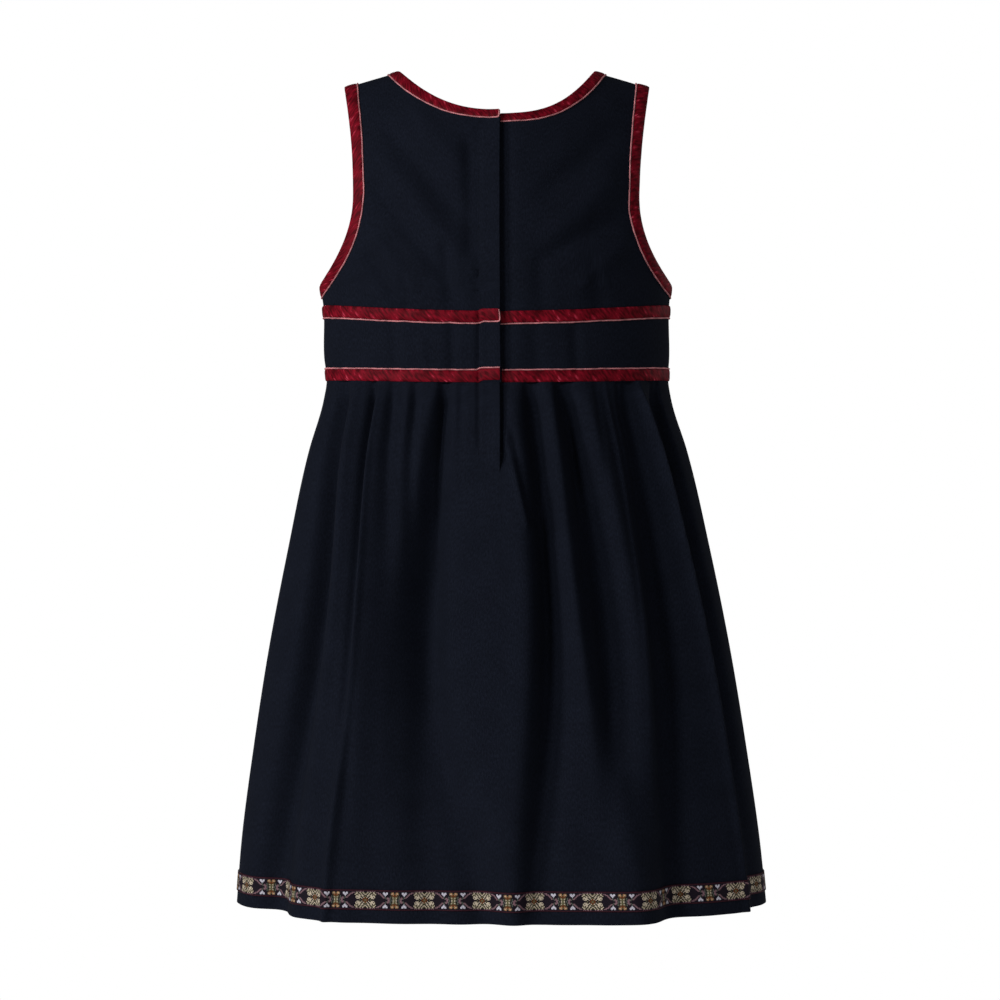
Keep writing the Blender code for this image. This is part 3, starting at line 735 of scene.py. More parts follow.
def skirt_grid(first, last, columns, underlap):
    """Angles and drops of a stretch of skirt, first and last being functions of the height, and
    underlap how far its first edge reaches under the lap as far as the placket's end."""
    angles, drops = [], []
    share = np.linspace(0, 1, columns + 1)
    near_edge = np.clip(1 - share * columns / UNDERLAP_COLUMNS, 0, 1)
    for v in np.linspace(0, 1, SKIRT_ROWS + 1) ** SKIRT_ROW_CROWDING:
        height = BAND_BOTTOM + v * (HEM - BAND_BOTTOM)
        reach = underlap / float(section("half_width", height)) * (height >= PLACKET_END)
        angle = first(height) + share * (last(height) - first(height)) - reach * near_edge
        top = band_bottom(angle) - HALF_SEAM
        angles.append(angle)
        drops.append(-(top + v * (HEM - top)))
    return np.array(angles), np.array(drops)


def skirt_seam(height):
    """The skirt's centre back seam, which hardly shows."""
    return float(angle_at(LAP_EDGE, height))


def strip(name, surface, angle, run, side, width, foot, edge, crown, seed):
    """A crowned ribbon inside an edge, as a closed mesh."""
    share = np.linspace(0, 1, RIBBON_ACROSS)
    along = lengths(surface(angle, run), 0)
    outer, inner = [], []
    for t in share:
        distance = width * t + 0.18 * waver(along, seed + t) * (0.3 + t)
        a, r = inset(surface, angle, run, distance, side)
        normal = outward(surface, a, r)
        puff = 1 + 0.25 * waver(along * 1.3 + 9 * t, seed + 3)
        height = edge + crown * puff * (1 - (2 * t - 1) ** 4)
        points = surface(a, r)
        outer.append(points + normal * height[..., None])
        inner.append(points + normal * foot)
    outer, inner = np.array(outer), np.array(inner)
    if side > 0:
        outer, inner = outer[::-1], inner[::-1]
    return cloth_mesh(name, outer, inner)


def path_mesh(name, points):
    """A line through these points, for a node tree to follow."""
    mesh = bpy.data.meshes.new(name)
    links = [(i, i + 1) for i in range(len(points) - 1)]
    mesh.from_pydata((np.asarray(points) * MM).tolist(), links, [])
    return mesh


def add_node(tree, kind, settings=(), inputs=()):
    """Adds a node with its settings, and sets or links its inputs."""
    node = tree.nodes.new(kind)
    for name, value in dict(settings).items():
        setattr(node, name, value)
    for name, value in dict(inputs).items():
        if isinstance(value, bpy.types.NodeSocket):
            tree.links.new(value, node.inputs[name])
        else:
            node.inputs[name].default_value = value
    return node


def node_tree(name, sockets):
    """A geometry node tree with these inputs, and its input node's outputs."""
    tree = bpy.data.node_groups.new(name, "GeometryNodeTree")
    for label, kind in (("Path", "NodeSocketGeometry"), *sockets):
        tree.interface.new_socket(name=label, in_out="INPUT", socket_type=kind)
    tree.interface.new_socket(name="Geometry", in_out="OUTPUT", socket_type="NodeSocketGeometry")
    return tree, tree.nodes.new("NodeGroupInput").outputs


def follow(obj, tree, values):
    """Runs a node tree on the piece's path and keeps the result as its plain mesh."""
    modifier = obj.modifiers.new(tree.name, "NODES")
    modifier.node_group = tree
    for item in tree.interface.items_tree:
        if item.in_out == "INPUT" and item.name in values:
            modifier[item.identifier] = values[item.name]
    graph = bpy.context.evaluated_depsgraph_get()
    made = bpy.data.meshes.new_from_object(obj.evaluated_get(graph))
    obj.modifiers.remove(modifier)
    obj.data = made
    made.name = obj.name


def stitch_tree():
    """Small rounded stitches in a row along a path."""
    tree, given = node_tree(
        "Stitches Along A Path",
        (
            ("Spacing", "NodeSocketFloat"), ("Stitch Length", "NodeSocketFloat"),
            ("Thread Radius", "NodeSocketFloat"), ("Thread", "NodeSocketMaterial"),
        ),
    )
    curve = add_node(tree, "GeometryNodeMeshToCurve", inputs={"Mesh": given["Path"]})
    places = add_node(
        tree, "GeometryNodeCurveToPoints", {"mode": "LENGTH"}, {"Curve": curve.outputs[0], "Length": given["Spacing"]}
    )
    ball = add_node(tree, "GeometryNodeMeshUVSphere", inputs={"Segments": 6, "Rings": 5, "Radius": 1.0})
    half = add_node(
        tree, "ShaderNodeMath", {"operation": "MULTIPLY"}, {0: given["Stitch Length"], 1: 0.5}
    )
    size = add_node(
        tree, "ShaderNodeCombineXYZ",
        inputs={"X": given["Thread Radius"], "Y": given["Thread Radius"], "Z": half.outputs[0]},
    )
    stitches = add_node(
        tree, "GeometryNodeInstanceOnPoints",
        inputs={
            "Points": places.outputs["Points"], "Instance": ball.outputs["Mesh"],
            "Rotation": places.outputs["Rotation"], "Scale": size.outputs[0],
        },
    )
    real = add_node(tree, "GeometryNodeRealizeInstances", inputs={"Geometry": stitches.outputs[0]})
    smooth = add_node(tree, "GeometryNodeSetShadeSmooth", inputs={"Geometry": real.outputs[0]})
    done = add_node(
        tree, "GeometryNodeSetMaterial", inputs={"Geometry": smooth.outputs[0], "Material": given["Thread"]}
    )
    add_node(tree, "NodeGroupOutput", inputs={"Geometry": done.outputs[0]})
    return tree


def piping_tree():
    """A corded piping of three twisted plies along a path."""
    tree, given = node_tree(
        "Corded Piping",
        (("Radius", "NodeSocketFloat"), ("Twist", "NodeSocketFloat"), ("Cord", "NodeSocketMaterial")),
    )
    curve = add_node(tree, "GeometryNodeMeshToCurve", inputs={"Mesh": given["Path"]})
    even = add_node(
        tree, "GeometryNodeResampleCurve", {"mode": "LENGTH"}, {"Curve": curve.outputs[0], "Length": 0.8 * MM}
    )
    along = add_node(tree, "GeometryNodeSplineParameter")
    turns = add_node(
        tree, "ShaderNodeMath", {"operation": "MULTIPLY"}, {0: along.outputs["Length"], 1: given["Twist"]}
    )
    tilt = add_node(tree, "ShaderNodeMath", {"operation": "MULTIPLY"}, {0: turns.outputs[0], 1: 2 * math.pi})
    turned = add_node(
        tree, "GeometryNodeSetCurveTilt", inputs={"Curve": even.outputs[0], "Tilt": tilt.outputs[0]}
    )
    ring = add_node(
        tree, "GeometryNodeCurvePrimitiveCircle", {"mode": "RADIUS"}, {"Resolution": 9, "Radius": given["Radius"]}
    )
    index = add_node(tree, "GeometryNodeInputIndex")
    lobe = add_node(tree, "ShaderNodeMath", {"operation": "MODULO"}, {0: index.outputs[0], 1: 3.0})
    dent = add_node(tree, "ShaderNodeMath", {"operation": "LESS_THAN"}, {0: lobe.outputs[0], 1: 0.5})
    scale = add_node(
        tree, "ShaderNodeMath", {"operation": "MULTIPLY_ADD"}, {0: dent.outputs[0], 1: -0.28, 2: 1.0}
    )
    place = add_node(tree, "GeometryNodeInputPosition")
    moved = add_node(
        tree, "ShaderNodeVectorMath", {"operation": "SCALE"}, {0: place.outputs[0], "Scale": scale.outputs[0]}
    )
    plies = add_node(
        tree, "GeometryNodeSetPosition", inputs={"Geometry": ring.outputs[0], "Position": moved.outputs[0]}
    )
    cord = add_node(
        tree, "GeometryNodeCurveToMesh",
        inputs={"Curve": turned.outputs[0], "Profile Curve": plies.outputs[0], "Fill Caps": True},
    )
    real = add_node(tree, "GeometryNodeRealizeInstances", inputs={"Geometry": cord.outputs[0]})
    done = add_node(
        tree, "GeometryNodeSetMaterial", inputs={"Geometry": real.outputs[0], "Material": given["Cord"]}
    )
    add_node(tree, "NodeGroupOutput", inputs={"Geometry": done.outputs[0]})
    return tree


def new_material(name):
    """An empty material's tree, and its shader."""
    made = bpy.data.materials.new(name)
    made.use_nodes = True
    return made, made.node_tree, made.node_tree.nodes["Principled BSDF"]


def shades(tree, factor, stops):
    """A colour that follows a factor through stops of place and linear colour."""
    ramp = add_node(tree, "ShaderNodeValToRGB", inputs={"Fac": factor})
    elements = ramp.color_ramp.elements
    while len(elements) < len(stops):
        elements.new(0.5)
    for element, (place, colour) in zip(elements, stops):
        element.position = place
        element.color = colour
    return ramp.outputs["Color"]


def tinted(colour, share):
    """A linear colour made lighter or darker by a share."""
    return (*(min(c * share, 1.0) for c in colour[:3]), 1.0)


def wool_material(colour):
    """Fulled navy wool: a matt woven cloth whose threads are half hidden under a short nap, so it
    takes the light softly and shows only slight clouds of colour."""
    made, tree, shader = new_material("fulled_navy_wool")
    cloth = add_node(tree, "ShaderNodeUVMap", {"uv_map": "Cloth"}).outputs[0]
    clouds = add_node(
        tree, "ShaderNodeTexNoise", inputs={"Vector": cloth, "Scale": 1 / 0.028, "Detail": 4.0, "Roughness": 0.6}
    )
    nap_stretch = add_node(tree, "ShaderNodeMapping", inputs={"Vector": cloth, "Scale": (1.0, 0.4, 1.0)})
    nap = add_node(
        tree, "ShaderNodeTexNoise",
        inputs={"Vector": nap_stretch.outputs[0], "Scale": 1 / 0.0011, "Detail": 2.0, "Roughness": 0.6},
    )
    mixed = add_node(
        tree, "ShaderNodeMath", {"operation": "MULTIPLY_ADD"}, {0: clouds.outputs[0], 1: 0.3, 2: nap.outputs[0]}
    )
    tone = add_node(tree, "ShaderNodeMath", {"operation": "SUBTRACT"}, {0: mixed.outputs[0], 1: 0.15})
    stops = ((0.25, tinted(colour, 0.66)), (0.5, tinted(colour, 1.0)), (0.75, tinted(colour, 1.5)))
    tree.links.new(shades(tree, tone.outputs[0], stops), shader.inputs["Base Color"])
    # Threads of the twill are about 0.7 mm apart, drawn at 1.3 mm so that they show close up
    twill_turn = add_node(
        tree, "ShaderNodeMapping", inputs={"Vector": cloth, "Rotation": (0, 0, math.radians(58))}
    )
    twill = add_node(
        tree, "ShaderNodeTexWave", {"wave_profile": "SIN"},
        {"Vector": twill_turn.outputs[0], "Scale": 1 / (0.0013 * 3.14159), "Distortion": 1.5, "Detail": 1.0},
    )
    relief = add_node(
        tree, "ShaderNodeMath", {"operation": "MULTIPLY_ADD"}, {0: twill.outputs["Fac"], 1: 0.25, 2: nap.outputs[0]}
    )
    bump = add_node(
        tree, "ShaderNodeBump", inputs={"Strength": 0.5, "Distance": 0.25 * MM, "Height": relief.outputs[0]}
    )
    tree.links.new(bump.outputs[0], shader.inputs["Normal"])
    shader.inputs["Roughness"].default_value = 0.92
    shader.inputs["Specular IOR Level"].default_value = 0.04
    shader.inputs["Sheen Weight"].default_value = 0.006
    shader.inputs["Sheen Roughness"].default_value = 0.5
    shader.inputs["Sheen Tint"].default_value = linear("#8e9ab8")
    return made


def velvet_material(colour):
    """Crushed silk velvet ribbon: its pile leans in slanting streaks and patches, whose dark and pale tones are
    painted into the colour as fixed shade and highlight of the pile, with a red sheen at its edges."""
    made, tree, shader = new_material("crushed_red_velvet")
    cloth = add_node(tree, "ShaderNodeUVMap", {"uv_map": "Cloth"}).outputs[0]
    slant = add_node(
        tree, "ShaderNodeMapping", {"vector_type": "TEXTURE"},
        {"Vector": cloth, "Rotation": (0, 0, math.radians(-40)), "Scale": (1, 4, 1)},
    )
    pile_streaks_and_painted_sheen = add_node(
        tree, "ShaderNodeTexNoise",
        inputs={"Vector": slant.outputs[0], "Scale": 1 / 0.002, "Detail": 2.0, "Roughness": 0.5, "Distortion": 0.3},
    )
    pile_patches_and_painted_sheen = add_node(
        tree, "ShaderNodeTexNoise", inputs={"Vector": cloth, "Scale": 1 / 0.011, "Detail": 1.0}
    )
    mixed = add_node(
        tree, "ShaderNodeMath", {"operation": "MULTIPLY_ADD"},
        {0: pile_patches_and_painted_sheen.outputs[0], 1: 0.45, 2: pile_streaks_and_painted_sheen.outputs[0]},
    )
    tone = add_node(tree, "ShaderNodeMath", {"operation": "SUBTRACT"}, {0: mixed.outputs[0], 1: 0.225})
    # Painted shade and highlight: the low stops darken the pile's streaks, and the high ones, up to a pale pink,
    # paint its highlights
    stops = (
        (0.36, tinted(colour, 0.42)), (0.46, tinted(colour, 0.8)), (0.56, tinted(colour, 1.12)),
        (0.66, tinted(colour, 1.55)), (0.76, linear("#bc3e54")),
    )
    tree.links.new(shades(tree, tone.outputs[0], stops), shader.inputs["Base Color"])
    pile = add_node(
        tree, "ShaderNodeTexNoise", inputs={"Vector": cloth, "Scale": 1 / 0.0005, "Detail": 1.0}
    )
    relief = add_node(
        tree, "ShaderNodeMath", {"operation": "MULTIPLY_ADD"}, {0: pile.outputs[0], 1: 0.2, 2: pile_streaks_and_painted_sheen.outputs[0]}
    )
    bump = add_node(
        tree, "ShaderNodeBump", inputs={"Strength": 0.7, "Distance": 0.6 * MM, "Height": relief.outputs[0]}
    )
    tree.links.new(bump.outputs[0], shader.inputs["Normal"])
    shader.inputs["Roughness"].default_value = 0.6
    shader.inputs["Specular IOR Level"].default_value = 0.05
    shader.inputs["Sheen Weight"].default_value = 0.04
    shader.inputs["Sheen Roughness"].default_value = 0.35
    shader.inputs["Sheen Tint"].default_value = linear("#d0505f")
    return made


def piping_material(colour):
    """Mercerised cotton cord: pale pink plies with a faint gloss, greyer where handling has soiled them."""
    made, tree, shader = new_material("pink_cotton_cord")
    place = add_node(tree, "ShaderNodeTexCoord").outputs["Object"]
    wear = add_node(
        tree, "ShaderNodeTexNoise", inputs={"Vector": place, "Scale": 1 / 0.006, "Detail": 3.0, "Roughness": 0.6}
    )
    stops = ((0.32, tinted(colour, 0.5)), (0.5, tinted(colour, 0.95)), (0.68, tinted(colour, 1.35)))
    tree.links.new(shades(tree, wear.outputs[0], stops), shader.inputs["Base Color"])
    fibres = add_node(tree, "ShaderNodeTexNoise", inputs={"Vector": place, "Scale": 1 / 0.0004, "Detail": 1.0})
    bump = add_node(
        tree, "ShaderNodeBump", inputs={"Strength": 0.4, "Distance": 0.1 * MM, "Height": fibres.outputs[0]}
    )
    tree.links.new(bump.outputs[0], shader.inputs["Normal"])
    shader.inputs["Roughness"].default_value = 0.6
    shader.inputs["Specular IOR Level"].default_value = 0.3
    return made


def woven_band_material():
    """Jacquard ribbon in cotton and rayon: each float of thread is a small raised bar with its own
    colour from the chart, and the ground is matt."""
    made, tree, shader = new_material("woven_jacquard_band")
    chart = add_node(tree, "ShaderNodeVertexColor", {"layer_name": "Thread"})
    cloth = add_node(tree, "ShaderNodeUVMap", {"uv_map": "Cloth"}).outputs[0]
    thread_relief_and_shade = add_node(
        tree, "ShaderNodeTexNoise", inputs={"Vector": cloth, "Scale": 1 / 0.0007, "Detail": 2.0, "Roughness": 0.6}
    )
    # Painted shade: the chart's colour is darkened where this noise makes the weave's relief low, between the threads
    painted_thread_shade = shades(tree, thread_relief_and_shade.outputs[0], ((0.3, linear("#8c8c8c")), (0.7, linear("#ffffff"))))
    colour = add_node(
        tree, "ShaderNodeMix", {"data_type": "RGBA", "blend_type": "MULTIPLY"},
        {"Factor": 1.0, 6: chart.outputs["Color"], 7: painted_thread_shade},
    )
    tree.links.new(colour.outputs[2], shader.inputs["Base Color"])
    threads = add_node(
        tree, "ShaderNodeTexWave", {"wave_profile": "SIN", "bands_direction": "Y"},
        {"Vector": cloth, "Scale": 1 / (0.00075 * 3.14159), "Distortion": 0.4},
    )
    relief = add_node(
        tree, "ShaderNodeMath", {"operation": "MULTIPLY_ADD"},
        {0: threads.outputs["Fac"], 1: 0.5, 2: thread_relief_and_shade.outputs[0]},
    )
    bump = add_node(
        tree, "ShaderNodeBump", inputs={"Strength": 0.5, "Distance": 0.2 * MM, "Height": relief.outputs[0]}
    )
    tree.links.new(bump.outputs[0], shader.inputs["Normal"])
    shader.inputs["Roughness"].default_value = 0.8
    shader.inputs["Specular IOR Level"].default_value = 0.12
    return made


def thread_material():
    """Navy cotton sewing thread, a little glossier than the wool it lies on."""
    made, tree, shader = new_material("navy_sewing_thread")
    place = add_node(tree, "ShaderNodeTexCoord").outputs["Object"]
    fibres = add_node(tree, "ShaderNodeTexNoise", inputs={"Vector": place, "Scale": 1 / 0.0012, "Detail": 1.0})
    stops = ((0.3, linear("#06070c")), (0.7, linear("#10131c")))
    tree.links.new(shades(tree, fibres.outputs[0], stops), shader.inputs["Base Color"])
    shader.inputs["Roughness"].default_value = 0.7
    shader.inputs["Specular IOR Level"].default_value = 0.08
    return made


def pale_material():
    """Matt paper sweep, near white."""
    made, tree, shader = new_material("pale_paper")
    place = add_node(tree, "ShaderNodeTexCoord").outputs["Object"]
    grain = add_node(tree, "ShaderNodeTexNoise", inputs={"Vector": place, "Scale": 40.0})
    stops = ((0.3, linear("#f2f2f0")), (0.7, linear("#fafaf8")))
    tree.links.new(shades(tree, grain.outputs[0], stops), shader.inputs["Base Color"])
    shader.inputs["Roughness"].default_value = 0.9
    return made


def material(name, make, *given):
    """The material of this name, made once."""
    return bpy.data.materials.get(name) or make(*given)


def wool():
    return material("fulled_navy_wool", wool_material, bpy.context.scene.dress_colours.wool)


def velvet():
    return material("crushed_red_velvet", velvet_material, bpy.context.scene.dress_colours.velvet)


def ribbon_edges():
    """Each neck and armhole edge: its name, surface, angles, runs and which side the cloth is on."""
    over, under = creased(lapped(bodice, True)), creased(lapped(bodice, False))
    plain = creased(bodice)
    return (
        ("neck_back_left", over, *neck_edge(LAP_EDGE - RIBBON_END_GAP, -1, NECK_LEFT), 1),
        ("neck_back_right", under, *neck_edge(LAP_EDGE + RIBBON_END_GAP, 1, NECK_RIGHT), -1),
        ("neck_front", plain, *neck_edge(SHOULDER_CENTRE, 1, NECK_FRONT, front=True), 1),
        ("armhole_left", plain, *armhole_edge(-1), 1),
        ("armhole_right", plain, *armhole_edge(1), -1),
    )


def waist_stretches():
    """Each stretch of the waistband: its name, surface, panel angles, ribbon angles and whether it laps over."""
    over, under = creased(lapped(trunk, True)), creased(lapped(trunk, False))
    quarter = side_angle(BAND_TOP)
    lap = float(angle_at(LAP_EDGE, BAND_TOP))
    underlap = float(angle_at(LAP_EDGE - LAP_WIDTH, BAND_TOP))
    left_end = float(angle_at(LAP_EDGE - RIBBON_END_GAP, BAND_TOP))
    right_end = float(angle_at(LAP_EDGE + RIBBON_END_GAP, BAND_TOP))
    front = np.linspace(math.pi - quarter, math.pi + quarter, 2 * BAND_COLUMNS + 1)
    return (
        (
            "back_left", over, np.linspace(-quarter, lap, BAND_COLUMNS + 1),
            np.linspace(-quarter, left_end, BAND_COLUMNS + 1), True,
        ),
        (
            "back_right", under, np.linspace(underlap, quarter, BAND_COLUMNS + 1),
            np.linspace(right_end, quarter, BAND_COLUMNS + 1), False,
        ),
        ("front", creased(trunk), front, front, False),
    )


def waist_edges():
    """Each waist ribbon's outer edge: its name, surface, angles, drops and which side the cloth is on."""
    edges = []
    for part, surface, _, angle, over in waist_stretches():
        rise = stand_rise(angle, over)
        top = -(band_top(angle) + rise - HALF_SEAM)
        bottom = -(band_bottom(angle) + rise + HALF_SEAM)
        edges.append((f"waist_upper_{part}", surface, angle, top, -1))
        edges.append((f"waist_lower_{part}", surface, angle, bottom, 1))
    return edges


class DRESS_OT_cloth(bpy.types.Operator):
    """Make the wool panels of the bodice, waistband and skirt"""

    bl_idname = "dress.cloth"
    bl_label = "Wool Panels"

    def execute(self, context):
        over, under = creased(lapped(bodice, True)), creased(lapped(bodice, False))
        underlap = LAP_EDGE - LAP_WIDTH
        pieces = [
            panel("bodice_back_left", over, *bodice_half(-1, LAP_EDGE, NECK_LEFT), BODICE_WALL, wool()),
            panel("bodice_back_right", under, *bodice_half(1, underlap, NECK_RIGHT), BODICE_WALL, wool()),
            panel("bodice_front", creased(bodice), *bodice_front(), BODICE_WALL, wool()),
        ]
        for part, surface, angle, _, _ in waist_stretches():
            top = band_top(angle) - HALF_SEAM
            bottom = band_bottom(angle) + HALF_SEAM
            share = np.linspace(0, 1, BAND_ROWS + 1)[:, None]
            drop = -(top + share * (bottom - top))
            angles = np.repeat(angle[None, :], BAND_ROWS + 1, axis=0)
            pieces.append(panel(f"waistband_{part}", surface, angles, drop, BAND_WALL, wool()))
        for part, surface, first, last, columns, reach in skirt_stretches():
            grid = skirt_grid(first, last, columns, reach)
            pieces.append(panel(f"skirt_{part}", surface, *grid, SKIRT_WALL, wool()))
        return {"FINISHED"}


def skirt_stretches():
    """Each stretch of the skirt: its name, surface, edges as functions of height, columns and underlap."""
    over, under = creased(lapped(skirt, True)), creased(lapped(skirt, False))
    return (
        ("back_left", over, lambda height: -side_angle(height), skirt_seam, SKIRT_COLUMNS, 0.0),
        ("back_right", under, skirt_seam, side_angle, SKIRT_COLUMNS, LAP_WIDTH),
        (
            "front", skirt, lambda height: math.pi - side_angle(height),
            lambda height: math.pi + side_angle(height), FRONT_COLUMNS, 0.0,
        ),
    )


def ribbon_share(name, points):
    """How wide a ribbon is as a share of its full width: the neck's is eased narrower at the centre back."""
    if not name.startswith("neck_back"):
        return np.ones(len(points))
    return 1 - NECK_EASE * np.exp(-((points[:, 0] / NECK_EASE_RUN) ** 2))


class DRESS_OT_ribbons(bpy.types.Operator):
    """Make the velvet ribbons of the neck, armholes and waist"""

    bl_idname = "dress.ribbons"
    bl_label = "Velvet Ribbons"

    def execute(self, context):
        for seed, (name, surface, angle, run, side) in enumerate((*ribbon_edges(), *waist_edges())):
            width = RIBBON_WIDTH * ribbon_share(name, surface(angle, run))
            mesh = strip(
                f"velvet_{name}", surface, angle, run, side, width, RIBBON_FOOT, RIBBON_EDGE, RIBBON_CROWN, seed
            )
            made = piece(f"velvet_{name}", mesh, velvet(), [f"{name}_ribbon"])
            length = lengths(surface(angle, run), 0)[-1] * MM
        return {"FINISHED"}


# On the upper placket half the piping turns up round the ribbon's end, in millimetres
CURLED_PIPING = ("neck_back_left", "waist_upper_back_left")
CURL_SHARES = (0.08, 0.2, 0.35, 0.5, 0.65, 0.78, 0.88, 0.95)
CURL_REACH = 1.0
CURL_LIFT = 0.7


class DRESS_OT_piping(bpy.types.Operator):
    """Make the pale corded piping beside each ribbon"""

    bl_idname = "dress.piping"
    bl_label = "Piping"

    def execute(self, context):
        sizes, colours = context.scene.dress_sizes, context.scene.dress_colours
        cord = material("pink_cotton_cord", piping_material, colours.piping)
        tree = piping_tree()
        for seed, (name, surface, angle, run, side) in enumerate((*ribbon_edges(), *waist_edges())):
            along = lengths(surface(angle, run), 0)
            share_of = ribbon_share(name, surface(angle, run))
            a, r = inset(surface, angle, run, PIPING_MIDDLE * share_of + 0.22 * waver(along, seed + 1), side)
            points = surface(a, r) + outward(surface, a, r) * (sizes.piping_radius / MM * 0.8)
            if name in CURLED_PIPING:
                end = -1 if abs(points[-1, 0] - LAP_EDGE) < abs(points[0, 0] - LAP_EDGE) else 0
                travel = points[end] - points[-2 if end else 1]
                travel = travel / np.linalg.norm(travel)
                climb = []
                for share in CURL_SHARES:
                    a, r = inset(surface, angle, run, PIPING_MIDDLE * share_of * (1 - share), side)
                    place = surface(a, r) + outward(surface, a, r) * CURL_LIFT
                    climb.append(place[end] + travel * CURL_REACH * (1 - share**4))
                points = np.concatenate([points, climb] if end else [climb[::-1], points])
            made = piece(f"piping_{name}", path_mesh(f"piping_{name}", points), None, [f"{name}_piping"])
            follow(made, tree, {"Radius": sizes.piping_radius, "Twist": sizes.piping_twist, "Cord": cord})
        return {"FINISHED"}


class DRESS_OT_hem_bands(bpy.types.Operator):
    """Make the woven band above the hem, from its chart"""

    bl_idname = "dress.hem_bands"
    bl_label = "Woven Hem Band"

    def execute(self, context):
        cloth = material("woven_jacquard_band", woven_band_material)
        quarter = np.array([list(row) for row in BAND_CHART])
        half = np.concatenate([quarter, quarter[::-1]])
        chart = np.concatenate([half, half[:, ::-1]], axis=1)
        threads = {letter: linear(colour) for letter, colour in BAND_THREADS.items()}
        cell = BAND_REPEAT / chart.shape[1]
        middle = (TRIM_TOP + TRIM_BOTTOM) / 2
        courses = {}
        for part, surface, first, last, *_ in skirt_stretches():
            angle = np.linspace(first(middle), last(middle), 4001)
            courses[part] = (surface, angle, lengths(surface(angle, -middle), 0))
        starts = {
            "back_left": BAND_START - courses["back_left"][2][-1],
            "back_right": BAND_START,
            "front": BAND_START + courses["back_right"][2][-1],
        }
        for part, (surface, angle, along) in courses.items():
            count = max(round(along[-1] / cell), 1)
            even = np.interp(np.linspace(0, along[-1], count + 1), along, angle)
            height = np.linspace(TRIM_TOP, TRIM_BOTTOM, len(chart) + 1)[:, None]
            angles = np.repeat(even[None, :], len(chart) + 1, axis=0)
            drops = np.broadcast_to(-height, angles.shape)
            points = surface(angles, drops)
            normal = outward(surface, angles, drops)
            mesh = cloth_mesh(
                f"band_{part}", points + normal * (TRIM_FOOT + TRIM_WALL), points + normal * TRIM_FOOT
            )
            column = np.floor(starts[part] / cell + np.arange(count) + 0.5).astype(int) % chart.shape[1]
            colours = np.array([[threads[chart[row, c]] for c in column] for row in range(len(chart))])
            faces = colours.reshape(-1, 4)
            ground = np.array([threads["e"]])
            others = len(mesh.polygons) - len(faces)
            every = np.concatenate([faces, np.repeat(ground, others, axis=0)])
            layer = mesh.color_attributes.new("Thread", "FLOAT_COLOR", "CORNER")
            layer.data.foreach_set("color", np.repeat(every, 4, axis=0).ravel())
            made = piece(f"band_{part}", mesh, cloth, [f"hem_band_{part}"])
        return {"FINISHED"}


class DRESS_OT_stitching(bpy.types.Operator):
    """Sew the placket's topstitching"""

    bl_idname = "dress.stitching"
    bl_label = "Stitching"

    def execute(self, context):
        sizes = context.scene.dress_sizes
        thread = material("navy_sewing_thread", thread_material)
        tree = stitch_tree()
        for name, points in stitch_lines():
            made = piece(f"stitches_{name}", path_mesh(f"stitches_{name}", points), None)
            follow(
                made, tree,
                {
                    "Spacing": sizes.stitch_spacing, "Stitch Length": sizes.stitch_length,
                    "Thread Radius": sizes.thread_radius, "Thread": thread,
                },
            )
        return {"FINISHED"}


def on_surface(surface, across, height, run_of, lift):
    """Points on a back surface at these places across and heights, lifted a little."""
    angle = angle_at(across, height)
    run = run_of(angle, height)
    return surface(angle, run) + outward(surface, angle, run) * lift


# Millimetres from the stand's fold to its stitches, from a line's end to the trim, and above the cloth
STITCH_BESIDE = 0.8
STITCH_END_GAP = 1.5
STITCH_LIFT = 0.1
BAR_STEPS = 20


def drop_at(angle, height):
    """The skirt's run at this height, which doesn't depend on the angle."""
    return -height


def stitch_lines():
    """The name and points of each line of stitching."""
    place = LAP_EDGE - LAP_WIDTH - STITCH_BESIDE
    neck = float(neck_height(place, NECK_LEFT)) - PIPING_MIDDLE - STITCH_END_GAP
    band_angle = float(angle_at(place, BAND_TOP))
    top = float(band_top(band_angle)) + STITCH_END_GAP
    bodice_line = np.linspace(neck, top, 60)
    seam = float(band_bottom(band_angle)) - 2.0
    skirt_line = np.linspace(seam, PLACKET_END, 40)
    over = creased(lapped(bodice, True))
    over_skirt = creased(lapped(skirt, True))
    bar = np.linspace(place, LAP_EDGE + STITCH_END_GAP, BAR_STEPS)
    return (
        ("placket_bodice", on_surface(over, place, bodice_line, bodice_run, STITCH_LIFT)),
        ("placket_skirt", on_surface(over_skirt, place, skirt_line, drop_at, STITCH_LIFT)),
        ("placket_bar", on_surface(over_skirt, bar, np.full(BAR_STEPS, PLACKET_END), drop_at, STITCH_LIFT)),
    )


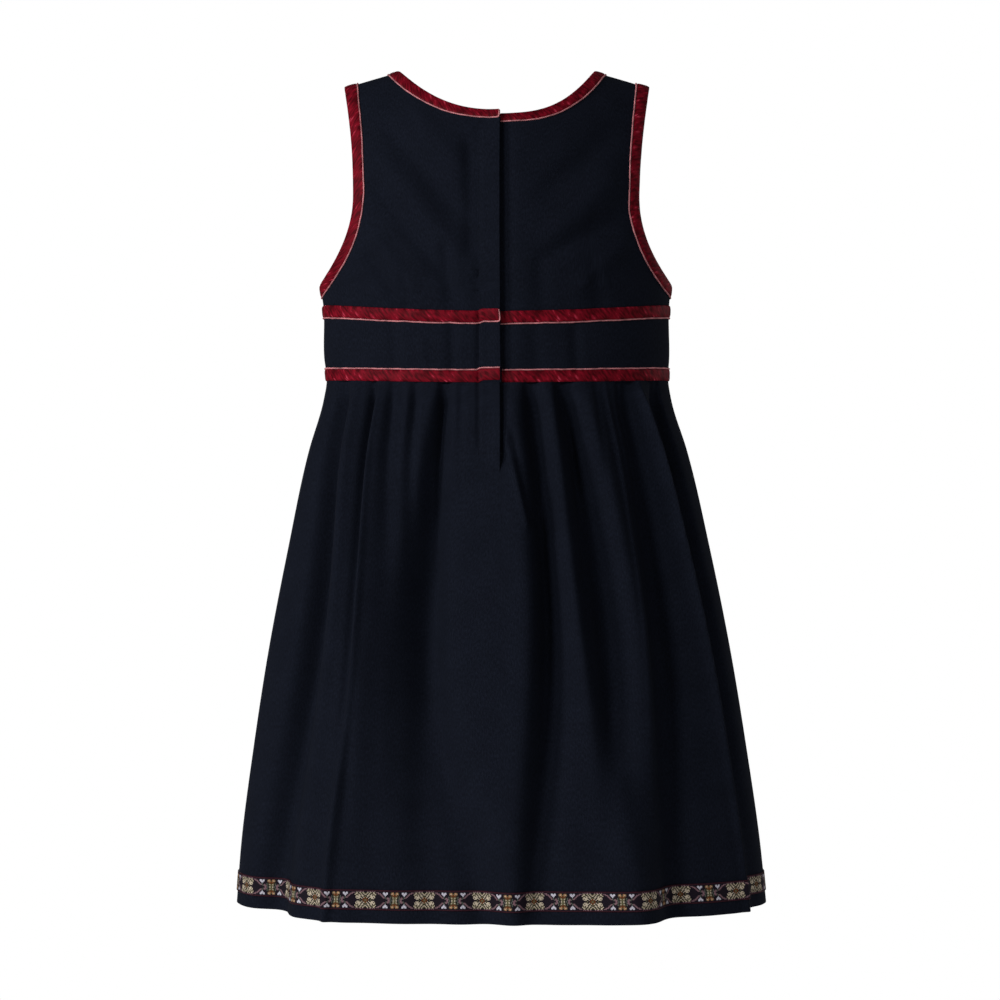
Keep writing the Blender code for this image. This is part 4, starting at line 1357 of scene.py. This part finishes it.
class DRESS_OT_stage(bpy.types.Operator):
    """Set the pale floor, the soft light and the camera"""

    bl_idname = "dress.stage"
    bl_label = "Stage"

    def execute(self, context):
        scene = context.scene
        floor_mesh = bpy.data.meshes.new("pale_floor")
        turns = np.linspace(0, 2 * math.pi, 97)[:-1]
        radius = scene.dress_sizes.floor_radius
        ring = [(radius * math.cos(t), radius * math.sin(t), FLOOR_HEIGHT * MM) for t in turns]
        floor_mesh.from_pydata(ring, [], [tuple(range(len(ring)))])
        floor_mesh.materials.append(material("pale_paper", pale_material))
        floor = bpy.data.objects.new("pale_floor", floor_mesh)
        scene.collection.objects.link(floor)
        world = scene.world or bpy.data.worlds.new("studio")
        scene.world = world
        world.use_nodes = True
        tree = world.node_tree
        seen = add_node(tree, "ShaderNodeLightPath")
        strength = add_node(
            tree, "ShaderNodeMix", {"data_type": "FLOAT"},
            {"Factor": seen.outputs["Is Camera Ray"], 2: AMBIENT_LIGHT, 3: 1.0},
        )
        background = tree.nodes["Background"]
        background.inputs["Color"].default_value = (1, 1, 1, 1)
        tree.links.new(strength.outputs[0], background.inputs["Strength"])
        scene.view_settings.view_transform = "Standard"
        for name, place, size, power in SOFTBOXES:
            data = bpy.data.lights.new(name, "AREA")
            data.shape = "DISK"
            data.size = size
            data.energy = power
            lamp = bpy.data.objects.new(name, data)
            scene.collection.objects.link(lamp)
            lamp.location = place
            aim = np.array([0.0, 0.0, CAMERA_HEIGHT * MM]) - np.array(place)
            lamp.rotation_euler = (
                math.atan2(math.hypot(aim[0], aim[1]), -aim[2]), 0, math.atan2(-aim[0], aim[1])
            )
        camera = bpy.data.objects.new("camera", bpy.data.cameras.new("camera"))
        scene.collection.objects.link(camera)
        camera.location = (0, -CAMERA_DISTANCE * MM, CAMERA_HEIGHT * MM)
        camera.rotation_euler = (math.pi / 2, 0, 0)
        camera.data.sensor_width = SENSOR
        camera.data.lens = SENSOR * CAMERA_DISTANCE / VIEW_WIDTH
        scene.camera = camera
        return {"FINISHED"}


# Stage: the floor and camera in millimetres, the lights in metres and watts
FLOOR_HEIGHT = -950.0
CAMERA_DISTANCE = 2700.0
CAMERA_HEIGHT = -336.0
VIEW_WIDTH = 800.0
SENSOR = 36.0
AMBIENT_LIGHT = 0.12
SOFTBOXES = (
    ("side_softbox", (-2.51, -1.45, 0.44), 0.7, 41.0),
    ("key_softbox", (-1.73, -2.22, 0.7), 0.8, 38.0),
    ("fill_softbox", (1.6, -2.4, 0.2), 1.6, 9.0),
    ("front_softbox", (-0.4, 2.85, 0.5), 1.0, 52.0),
    ("far_side_fill", (2.5, 1.3, 0.3), 1.4, 13.0),
)


class DRESS_PT_panel(bpy.types.Panel):
    """Sizes, colours and pieces of the dress"""

    bl_idname = "DRESS_PT_panel"
    bl_label = "Bunad Dress"
    bl_space_type = "VIEW_3D"
    bl_region_type = "UI"
    bl_category = "Bunad Dress"

    def draw(self, context):
        for group in (context.scene.dress_sizes, context.scene.dress_colours):
            for name in group.__annotations__:
                self.layout.prop(group, name)
        for operator in OPERATORS:
            self.layout.operator(operator.bl_idname)


OPERATORS = (
    DRESS_OT_cloth, DRESS_OT_ribbons, DRESS_OT_piping, DRESS_OT_hem_bands, DRESS_OT_stitching, DRESS_OT_stage,
)
CLASSES = (DressSizes, DressColours, *OPERATORS, DRESS_PT_panel)
ALL_FOLDS = (
    fold_table(BACK_FOLDS, False) + fold_table(FRONT_FOLDS, True)
    + fold_table(BACK_GATHERS, False) + fold_table(FRONT_GATHERS, True)
)


def register():
    for made in CLASSES:
        bpy.utils.register_class(made)
    bpy.types.Scene.dress_sizes = bpy.props.PointerProperty(type=DressSizes)
    bpy.types.Scene.dress_colours = bpy.props.PointerProperty(type=DressColours)


def unregister():
    del bpy.types.Scene.dress_colours
    del bpy.types.Scene.dress_sizes
    for made in reversed(CLASSES):
        bpy.utils.unregister_class(made)


def main():
    register()
    clear_startup()
    bpy.ops.dress.cloth()
    bpy.ops.dress.ribbons()
    bpy.ops.dress.piping()
    bpy.ops.dress.hem_bands()
    bpy.ops.dress.stitching()
    bpy.ops.dress.stage()


if __name__ == "__main__":
    main()
